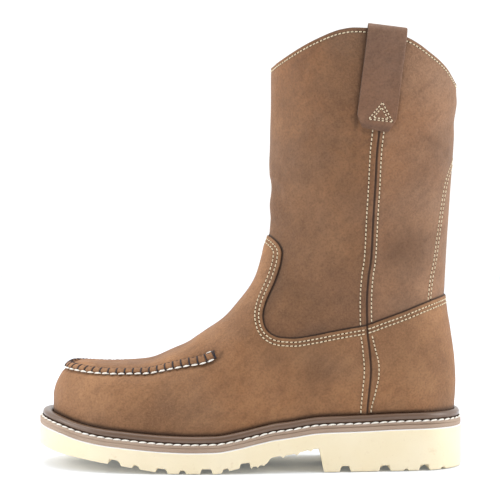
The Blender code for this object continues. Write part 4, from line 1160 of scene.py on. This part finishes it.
# %% Strap form
CREST_BASE = STRAP_TOP_Z - STRAP_THICKNESS - STRAP_CREST
OUTSIDE_TREE = tree_of(BASE, LAYER * (1 - BASE["layer"]))
INSIDE_TREE = tree_of(BASE, -SHAFT_WALL - LAYER * BASE["layer"])


def wall(tree, x, z, side, start):
    hit = tree.ray_cast(Vector((x, start, z)), Vector((0, side if start == 0 else -side, 0)))[0]
    return abs(hit.y)


def strap_centre(z):
    return STRAP_PLACE * LENGTH + STRAP_LEAN * (z - COLLAR_HEIGHT)


def standoff(z):
    return 0.25 + 1.65 * float(ease(z, 273.7, 301.9))


def strap_line(q, side):
    """The strap's inner face along one line, q from -0.5 to 0.5 across it."""
    tilt = -STRAP_LEAN * q * STRAP_WIDTH
    line = []
    for z in np.linspace(STRAP_TAIL_Z, CREST_BASE, 30):
        width = STRAP_WIDTH * (0.66 + 0.34 * min(1.0, (z - STRAP_TAIL_Z) / 9.0))
        x = strap_centre(z) + q * width
        line.append((x, wall(OUTSIDE_TREE, x, z + tilt, side, 200.0 * side) + standoff(z), z + tilt))
    x = strap_centre(CREST_BASE) + q * STRAP_WIDTH
    far, near = line[-1][1], wall(INSIDE_TREE, x, CREST_BASE + tilt, side, 0) - standoff(CREST_BASE)
    for turn in np.linspace(0, math.pi, 15)[1:-1]:
        z = CREST_BASE + STRAP_CREST * math.sin(turn)
        y = (far + near) / 2 + (far - near) / 2 * math.cos(turn)
        line.append((strap_centre(z) + q * STRAP_WIDTH, y, z + tilt))
    for z in np.linspace(CREST_BASE, STRAP_INNER_Z, 20):
        x = strap_centre(z) + q * STRAP_WIDTH
        line.append((x, wall(INSIDE_TREE, x, z + tilt, side, 0) - standoff(z), z + tilt))
    return np.array(line)


def strap_form(side):
    """Rings of points round the strap's section, one ring per place along it."""
    edge = 0.9 / STRAP_WIDTH
    profile = [(-0.5, 0.28), (-0.5, 0.72)]
    profile += [(-0.5 + edge * (1 - math.cos(a)), 0.72 + 0.28 * math.sin(a)) for a in (0.6, 1.1, 1.57)]
    profile += [(q, 1.0) for q in np.linspace(-0.5, 0.5, 13)[1:-1]]
    profile += [(0.5 - edge * (1 - math.cos(a)), 0.72 + 0.28 * math.sin(a)) for a in (1.57, 1.1, 0.6)]
    profile += [(0.5, 0.72), (0.5, 0.28), (0.5 - edge, 0.0)]
    profile += [(q, 0.0) for q in np.linspace(0.5, -0.5, 9)[1:-1]] + [(-0.5 + edge, 0.0)]
    lines = {q: strap_line(q, side) for q in sorted({round(q, 6) for q, _ in profile})}
    near = np.array([lines[round(q, 6)] for q, _ in profile])
    ahead = np.gradient(near, axis=1)
    outward = np.zeros_like(near)
    outward[..., 1], outward[..., 2] = ahead[..., 2], -ahead[..., 1]
    outward /= np.linalg.norm(outward, axis=2, keepdims=True)
    share = np.array([t for _, t in profile])[:, None]
    thick = np.full(near.shape[1], STRAP_THICKNESS)
    thick[[0, -1]], thick[[1, -2]] = 1.1, 1.7
    sag = 0.25 * np.sin(np.linspace(0, 9, near.shape[1])) * bell(np.linspace(0, 1, near.shape[1]) - 0.35, 0.2)
    points = near + outward * (share * thick + sag)[..., None]
    points[..., 1] *= side
    return points.transpose(1, 0, 2)


STRAPS = {}
for name, side, node in (("strap_outer", -1, "pull_loop_outer"), ("strap_inner", 1, "pull_loop_inner")):
    rings = strap_form(side)
    rows, columns = rings.shape[:2]
    faces = [tuple(q) for q in grid_quads(rows, columns, flip=side > 0)]
    faces += [tuple(range(columns)), tuple(range((rows - 1) * columns, rows * columns))]
    across = np.abs(np.linspace(0, 1, columns) - 0.5)
    # The edge toward the toe takes painted shade, where the strap's thickness is in shadow; the lower tail end is
    # darker too
    shade = np.full((rows, columns), 0.06)
    shade[:2] = 0.35
    shade[:, [0, 1, 2, -1, -2]] = 0.65
    STRAPS[name] = rings
    strap = mesh_piece(name, rings.reshape(-1, 3), faces, [STRAP], shade.reshape(-1))
    belongs(strap, "brown_leather", node)
    print(name, rows, "x", columns)

# %% [markdown]
# The triangle on the strap's tail has two rows: an outer one with its corners at the strap's edges and an
# inner one just inside it. Its corners are given as seen from the side and dropped onto the strap.

# %% Strap stitches
TRIANGLES = [
    [(91.9, 260.0), (82.4, 248.6), (99.1, 246.6), (91.9, 260.0)],
    [(91.4, 256.6), (85.6, 249.6), (96.0, 248.4), (91.4, 256.6)],
]
for name, side in (("strap_outer", -1), ("strap_inner", 1)):
    rings = STRAPS[name]
    rows, columns = rings.shape[:2]
    tree = BVHTree.FromPolygons(rings.reshape(-1, 3).tolist(), grid_quads(rows, columns).tolist())
    for corners in TRIANGLES:
        for a, b in zip(corners, corners[1:]):
            flat = np.linspace(a, b, 24)
            hits = [tree.ray_cast(Vector((x, 200.0 * side, z)), Vector((0, -side, 0)))[:2] for x, z in flat]
            hits = [(place[:], up[:]) for place, up in hits if place is not None]
            if len(hits) < 8:
                continue
            place, up = np.array([h[0] for h in hits]), np.array([h[1] for h in hits])
            up *= np.sign(up[:, 1:2] * side)
            thread.row((place, up), 2.6, stitch_form(1.9, 0.9, 0.7))
            painted_hole_shadows.row((place, up), 2.6, hole_form(0.35), phase=0.0)

# %% [markdown]
# ## The sole's outlines
# Everything in the sole follows the foot's outline at a given height. The outline is read from the leather
# grid just above the sole, then set outward: further at the toe and heel, where the sole stands proud.

# %% Outlines of the foot
def outline_at(level, height):
    """Outer and inner plan lines of the leather at a height above the sole, from toe tip to heel tip."""
    grid = GRID + GRID_NORMAL * height
    over = grid[..., 2] - outsole_top(grid[..., 0].ravel()).reshape(grid.shape[:2]) - level
    half = AROUND_COUNT // 2
    sides = []
    for columns in (np.arange(0, half + 1), np.concatenate([[0], np.arange(AROUND_COUNT - 1, half - 1, -1)])):
        line = []
        for ring, rise in zip(grid[:, columns], over[:, columns]):
            if rise[0] < 0:
                j = int(np.argmax(rise > 0))
                share = rise[j - 1] / (rise[j - 1] - rise[j])
                line.append((ring[j - 1] + (ring[j] - ring[j - 1]) * share)[:2])
        sides.append(np.array(line))
    k = int(np.argmax(over[:, 0] > 0))
    heel = grid[k - 1, 0] + (grid[k, 0] - grid[k - 1, 0]) * over[k - 1, 0] / (over[k - 1, 0] - over[k, 0])
    return np.vstack([sides[0], heel[:2], sides[1][::-1][:-1]])


def outward_normals(loop):
    ahead = np.roll(loop, -1, axis=0) - np.roll(loop, 1, axis=0)
    normal = np.column_stack([ahead[:, 1], -ahead[:, 0]])
    normal /= np.linalg.norm(normal, axis=1, keepdims=True)
    return normal if np.sum(normal * (loop - loop.mean(axis=0))) > 0 else -normal


def smooth_loop(loop, passes):
    for _ in range(passes):
        loop = (np.roll(loop, 1, axis=0) + 2 * loop + np.roll(loop, -1, axis=0)) / 4
    return loop


RING_COUNT, REACH_SIDE = 720, 6.8
FEATHER = smooth_loop(resample(outline_at(6.0, 0.0), RING_COUNT, closed=True), 10)
FEATHER_NORMAL = outward_normals(FEATHER)


def reach_along(x):
    toe, heel = FEATHER[:, 0].min(), FEATHER[:, 0].max()
    more_toe = (toe + LENGTH / 2 - REACH_SIDE) * np.clip(1 - (x - toe) / 70.0, 0, 1) ** 1.5
    more_heel = (LENGTH / 2 - heel - REACH_SIDE) * np.clip(1 - (heel - x) / 40.0, 0, 1) ** 1.5
    return REACH_SIDE + more_toe + more_heel


REACH = reach_along(FEATHER[:, 0])
SOLE_LOOP = FEATHER + FEATHER_NORMAL * REACH[:, None]
print("sole outline, mm:", np.ptp(SOLE_LOOP, axis=0).round(1))

# %% [markdown]
# ## Welt and midsole
# The welt is one moulded strip: a flat flange over the midsole, a groove that holds the stitches, and a
# rounded bead that hugs the leather. It is swept as one profile round the foot. Its bead is satin, its flange
# is the same dull taupe as the midsole under it, and the groove and the bead's foot against the leather take
# a dark painted shade, so the profile's rows choose between three finishes.

# %% Rubber finishes
def rubber(name, colour, other, roughness, coat=0.0, soil_colour=None, bump=0.25):
    material, tree, shader = start_material(name, roughness, 0.4)
    mixed = blend_colour(tree, linear(colour), linear(other), noise_mask(tree, 30, 0.35, 0.7, 4.0))
    if soil_colour:
        spots = noise_mask(tree, 120, 0.66, 0.80, 5.0, shift=2.2)
        mixed = blend_colour(tree, mixed, linear(soil_colour), times(tree, spots, 0.35))
        fine = noise_mask(tree, 500, 0.62, 0.85, 4.0, shift=5.0)
        mixed = blend_colour(tree, mixed, linear(soil_colour), times(tree, fine, 0.22))
    tree.links.new(mixed, shader.inputs["Base Color"])
    shader.inputs["Coat Weight"].default_value = coat
    shader.inputs["Coat Roughness"].default_value = 0.35
    add_bump(tree, shader, [(90, 0.2 * bump, 0.0008), (900, bump, 0.0002)])
    return material


BEAD = rubber("welt_bead", (98, 73, 54), (112, 86, 67), 0.34, 0.6)
FLANGE = rubber("welt_flange", (174, 151, 131), (163, 139, 119), 0.62, bump=0.3)
GROOVE_PAINTED_SHADE = rubber("welt_groove_painted_shade", (70, 48, 30), (58, 38, 24), 0.8)
WHITE_EDGE_PAINTED_HIGHLIGHT = rubber("outsole_edge_painted_highlight", (250, 248, 244), (248, 245, 240), 0.5)
CREAM = rubber("cream_rubber_look", (244, 230, 198), (241, 225, 189), 0.55, 0.05, (196, 160, 112))
print("rubbers ready")

# %% Welt sweep
WELT_PROFILE = [
    (-1.2, 2.6), (5.4, 2.6), (6.38, 2.62), (6.42, 3.3), (6.4, 4.1), (6.1, 4.75), (5.55, 4.95),
    (5.35, 4.7), (5.0, 4.6), (4.6, 4.9), (4.45, 5.9), (4.5, 6.3), (4.85, 6.8), (5.05, 7.6), (4.95, 8.7),
    (4.5, 9.8), (3.7, 10.6), (2.8, 10.95), (1.9, 11.0), (1.1, 10.6), (0.55, 9.8), (0.2, 8.6), (-0.3, 7.6),
]
# Rows: flange, the groove in painted shade, bead, and the bead's foot in painted shade
WELT_LOOKS = [1] * 6 + [2] * 6 + [0] * 8 + [2] * 2
LEVELS = (3.3, 6.0, 9.0, 11.5)
HUGS = [smooth_loop(resample(outline_at(level, 0.0), RING_COUNT, closed=True), 10) for level in LEVELS]


def welt_ring(distance, height):
    """A ring of the welt: the leather's outline at this height, set out by the distance."""
    k = min(int(np.searchsorted(LEVELS, height)), len(LEVELS) - 1) - 1
    k = max(k, 0)
    share = np.clip((height - LEVELS[k]) / (LEVELS[k + 1] - LEVELS[k]), 0, 1)
    hug = HUGS[k] * (1 - share) + HUGS[k + 1] * share
    wide = (REACH - REACH_SIDE) * np.clip((distance - 0.8) / 5.6, 0, 1)
    loop = hug + outward_normals(hug) * (distance + wide)[:, None]
    return np.column_stack([loop, outsole_top(loop[:, 0]) + height])


welt_rings = np.array([welt_ring(d, h) for d, h in WELT_PROFILE])
welt_faces = grid_quads(len(WELT_PROFILE), RING_COUNT)
looks = np.repeat(WELT_LOOKS, RING_COUNT)
welt = mesh_piece("storm_welt", welt_rings.reshape(-1, 3), welt_faces, [BEAD, FLANGE, GROOVE_PAINTED_SHADE], face_material=looks)
belongs(welt, "taupe_welt", "welt")
print("welt faces:", len(welt.data.polygons))

# %% Welt stitches
# Each stitch lies in the groove, slants a little up toward its front end, and shows its whole length.
seat = welt_ring(5.4, 5.2)
wrapped = np.vstack([seat, seat[:1]])
out_way = np.vstack([FEATHER_NORMAL, FEATHER_NORMAL[:1]])
up_way = np.column_stack([out_way * 0.75, np.full(len(out_way), 0.66)])
welt_thread = Gathered()
welt_thread.row((wrapped, up_way), 6.15, stitch_form(5.7, 1.3, 1.15, 0.28, 0.0, rings=8))
stitches = welt_thread.piece("welt_stitches", WHITE_THREAD)
belongs(stitches, "taupe_welt")
print("welt stitch faces:", len(stitches.data.polygons))

# %% Midsole
MIDSOLE_PROFILE = [(-8.0, 0.0), (-0.75, 0.0), (-0.45, 0.25), (-0.4, 1.3), (-0.42, 2.3), (-0.42, 2.62), (-8.0, 2.65)]
rings = []
for inset, height in MIDSOLE_PROFILE:
    loop = SOLE_LOOP + outward_normals(SOLE_LOOP) * inset
    rings.append(np.column_stack([loop, outsole_top(loop[:, 0]) + height]))
midsole_piece = mesh_piece(
    "midsole_edge", np.vstack(rings), grid_quads(len(rings), RING_COUNT), [FLANGE],
)
belongs(midsole_piece, "taupe_midsole", "midsole")
print("midsole faces:", len(midsole_piece.data.polygons))

# %% [markdown]
# ## The cream outsole
# The sole's underside is a height that depends on the place along the foot: toe spring, lugs, arch and heel.
# Notches that cross the whole sole are dips in that height, and the short ones fade out 13 mm in from the
# rim. Cutting each notch with a Boolean is possible. A height with rounded dips also softens every lug's
# edge, as moulded rubber is soft, and keeps the mesh in even rows.

# %% Underside height
THROUGH_CUTS = [
    (-0.312, 8.2, 3.6), (-0.203, 7.6, 3.4), (-0.100, 7.8, 3.4), (-0.011, 7.2, 3.2),
    (0.220, 6.8, 4.0), (0.312, 7.2, 4.0), (0.404, 6.6, 4.0),
]
EDGE_CUTS = [
    (-0.262, 4.4, 2.4), (-0.155, 4.2, 2.4), (-0.056, 4.2, 2.4), (0.362, 2.6, 1.4), (0.449, 2.6, 1.4),
]
# Small teeth under the waist: place in mm, half width, depth below the moulding
WAIST_TEETH = [(0.8, 1.5, 1.3), (5.4, 1.4, 1.2), (9.8, 1.3, 0.9), (23.4, 1.9, 1.5), (33.2, 2.0, 1.5), (42.8, 2.0, 1.4)]


def notch(x, middle, width, depth):
    """A flat-bottomed dip with rounded shoulders."""
    return depth * (1 - ease(np.abs(x - middle), width / 2 - 0.75, width / 2 + 0.75))


def underside(x, inset):
    height = outsole_bottom(x)
    for share, width, depth in THROUGH_CUTS:
        height = height + notch(x, share * LENGTH, width, depth)
    for share, width, depth in EDGE_CUTS:
        height = height + notch(x, share * LENGTH, width, depth) * (1 - ease(inset, 12.2, 13.6))
    for middle, half, depth in WAIST_TEETH:
        height = height - depth * np.clip(1 - np.abs(x - middle) / half, 0, 1) * (1 - ease(inset, 9, 11))
    return height


def long_grooves(x, inset):
    """Two shallow grooves under the ball and heel, running lengthwise, seen only from below."""
    wave = bell(inset - 20.0, 1.3) + bell(inset - 30.0, 1.3)
    return 1.4 * wave * (ease(x, -118, -112) * (1 - ease(x, -2, 4)) + ease(x, 58, 62) * (1 - ease(x, 128, 134)))


print("lowest point of the underside, mm:", underside(np.linspace(-150, 150, 900), 20.0).min().round(3))

# %% Outsole mesh
STATION_COUNT = 1150
low_x, high_x = SOLE_LOOP[:, 0].min(), SOLE_LOOP[:, 0].max()
even = np.linspace(0, 1, STATION_COUNT)
STATION_SHARES = 0.72 * even + 0.28 * (1 - np.cos(math.pi * even)) / 2
# Distance in from the rim and how much of the side's height is left at each level, from the top down
TOP_ROWS = [(7.5, 0.0), (1.7, 0.0), (1.05, 0.12), (0.55, 0.45), (0.2, 0.95), (0.0, 1.7), (0.12, 2.05), (0.0, 2.4), (0.0, 3.3)]
BOTTOM_ROWS = [(0.0, 2.2), (0.0, 1.3), (0.15, 0.7), (0.5, 0.25), (1.0, 0.05), (1.6, 0.0), (6.0, 0.0), (11.8, 0.0), (13.8, 0.0),
               (17.5, 0.0), (20.0, 0.0), (22.5, 0.0), (27.5, 0.0), (30.0, 0.0), (32.5, 0.0)]


def both_sides(loop, shares):
    """The loop's outer and inner y at stations spread over its length."""
    toe, heel = int(np.argmin(loop[:, 0])), int(np.argmax(loop[:, 0]))
    turned = np.roll(loop, -toe, axis=0)
    heel = (heel - toe) % len(loop)
    first, second = turned[: heel + 1], np.vstack([turned[heel:], turned[:1]])[::-1]
    x = turned[0, 0] + shares * (turned[heel, 0] - turned[0, 0])
    lines = [np.interp(x, np.maximum.accumulate(line[:, 0]), line[:, 1]) for line in (first, second)]
    lines.sort(key=lambda line: line.mean())
    return x, lines[0], lines[1]


rows = []
for inset, drop in TOP_ROWS:
    x, outer, inner = both_sides(SOLE_LOOP - outward_normals(SOLE_LOOP) * inset, STATION_SHARES)
    top = outsole_top(x) - drop
    rows.append([np.column_stack([x, y, top]) for y in (outer, inner)])
for inset, rise in BOTTOM_ROWS:
    loop = SOLE_LOOP - outward_normals(SOLE_LOOP) * min(inset, 17.5)
    x, outer, inner = both_sides(loop, STATION_SHARES)
    middle, more = (outer + inner) / 2, max(0.0, inset - 17.5)
    pinch = np.clip(1 - more / np.maximum((inner - outer) / 2, 1.0), 0.03, 1)
    low = np.minimum(underside(x, inset) + long_grooves(x, inset), outsole_top(x) - 4.0) + rise
    rows.append([np.column_stack([x, middle + (y - middle) * pinch, low]) for y in (outer, inner)])
count = STATION_COUNT
rings = np.array([np.vstack([outer, inner[-2:0:-1]]) for outer, inner in rows])
ring_size = rings.shape[1]
faces = [tuple(q) for q in grid_quads(len(rings), ring_size)]
first_low = (len(rings) - 1) * ring_size
for k in range(1, count - 2):
    faces.append((first_low + k, first_low + k + 1, first_low + ring_size - k - 1, first_low + ring_size - k))
faces.append((first_low, first_low + 1, first_low + ring_size - 1))
faces.append((first_low + count - 2, first_low + count - 1, first_low + count))
# The rows of the top edge's bevel take a whiter finish: a painted highlight where it catches the top light
painted_highlight_band = np.zeros(len(faces), int)
painted_highlight_band[ring_size * 1: ring_size * 4] = 1
sole = mesh_piece("outsole_moulding", rings.reshape(-1, 3), faces, [CREAM, WHITE_EDGE_PAINTED_HIGHLIGHT], face_material=painted_highlight_band)
belongs(sole, "cream_rubber", "outsole")
print("outsole faces:", len(sole.data.polygons))

# %% [markdown]
# ## Insole
# The insole is already a solid of the frame, hidden deep in the boot. It keeps its form and only takes a
# finish here: a dark woven cover.

# %% Insole cover, and the collected small pieces
FOOTBED = plain("footbed_look", (96, 88, 78), 0.9, (78, 70, 62), 700, 0.2, [(1500, 0.5, 0.0003)])
insole_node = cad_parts["insole"]
insole_node.data.materials.clear()
insole_node.data.materials.append(FOOTBED)
for name, gathered, material in (
    ("seam_thread", thread, THREAD), ("needle_hole_shadows", painted_hole_shadows, PAINTED_HOLE_SHADE),
    ("toe_stitches", white, WHITE_THREAD), ("toe_cross_threads", dark, DARK_THREAD),
):
    piece = gathered.piece(name, material)
    belongs(piece, "tan_leather")
    print(name, len(piece.data.polygons))

# %% [markdown]
# ## Studio
# The photo is a catalogue picture: white all round, soft light from above and both sides, and a grey shadow
# only where the sole nearly touches the ground. A bright world gives the white and most of the soft light.
# Large lamps above and in front give the leather its form. The floor is white and lit past full white, so
# that only the shadow shows, and it glows faintly: painted light that lifts that shadow.

# %% Floor and backdrop
def stage_plane(name, size, location, material):
    half = size / 2
    mesh = bpy.data.meshes.new(name)
    mesh.from_pydata([(-half, -half, 0), (half, -half, 0), (half, half, 0), (-half, half, 0)], [], [(0, 1, 2, 3)])
    mesh.materials.append(material)
    obj = bpy.data.objects.new(name, mesh)
    obj.location = location
    bpy.context.scene.collection.objects.link(obj)
    return obj


floor_material, floor_tree, floor_shader = start_material("floor_white", 0.9, 0.1)
# The faint bluish glow is painted light that lifts the shadow under the boot; the bluish white keeps that shadow from
# turning warm
floor_shader.inputs["Base Color"].default_value = (0.84, 0.87, 0.93, 1.0)
floor_shader.inputs["Emission Color"].default_value = (0.84, 0.92, 1.0, 1.0)
floor_shader.inputs["Emission Strength"].default_value = 0.09
stage_plane("floor", 4.0, (0, 0, -0.0004), floor_material)

# The studio is white behind, beside and above the boot and dim behind the camera
DIM_SIDE, BRIGHT_SIDE = 0.30, 1.12
world = bpy.data.worlds.new("studio")
bpy.context.scene.world = world
world.use_nodes = True
world_tree = world.node_tree
world_tree.nodes["Background"].inputs["Color"].default_value = (1.0, 1.0, 1.0, 1.0)
direction = world_tree.nodes.new("ShaderNodeTexCoord")
parts = world_tree.nodes.new("ShaderNodeSeparateXYZ")
to_light = world_tree.nodes.new("ShaderNodeMapRange")
to_light.interpolation_type = "SMOOTHSTEP"
for socket, value in (("From Min", -0.95), ("From Max", -0.15), ("To Min", DIM_SIDE), ("To Max", BRIGHT_SIDE)):
    to_light.inputs[socket].default_value = value
world_tree.links.new(direction.outputs["Generated"], parts.inputs[0])
world_tree.links.new(parts.outputs["Y"], to_light.inputs["Value"])
world_tree.links.new(to_light.outputs["Result"], world_tree.nodes["Background"].inputs["Strength"])
bpy.context.scene.view_settings.view_transform = "Standard"
bpy.context.scene.view_settings.look = "None"

# %% Lamps
def lamp(name, place, aim, size, power, colour=(1, 1, 1)):
    light = bpy.data.lights.new(name, "AREA")
    light.shape, light.size, light.size_y = "RECTANGLE", size[0], size[1]
    light.energy, light.color = power, colour
    obj = bpy.data.objects.new(name, light)
    obj.location = place
    obj.rotation_euler = (Vector(aim) - Vector(place)).to_track_quat("-Z", "Y").to_euler()
    bpy.context.scene.collection.objects.link(obj)
    return obj


lamp("top", (0.0, 0.1, 1.7), (0, 0, 0.1), (1.6, 1.2), 13)
lamp("left", (-1.5, -0.35, 0.7), (0, 0, 0.13), (0.9, 1.2), 11)
lamp("right", (1.5, -0.35, 0.7), (0, 0, 0.16), (0.9, 1.2), 11)

# %% [markdown]
# ## Camera
# The photo is taken from far enough to look almost flat, a little above the ankle. Distance, height and lens
# were worked out from how the sole's far edge and the collar's inside show in the photo.

# %% Camera
camera_data = bpy.data.cameras.new("camera")
camera_data.sensor_width = 36.0
camera_data.lens = 159.9
camera = bpy.data.objects.new("camera", camera_data)
camera.location = (0.0, -1.6, 0.245)
camera.rotation_euler = (Vector((0, 0, 0.1544)) - camera.location).to_track_quat("-Z", "Y").to_euler()
bpy.context.scene.collection.objects.link(camera)
bpy.context.scene.camera = camera

# %% The end
bpy.context.view_layer.update()
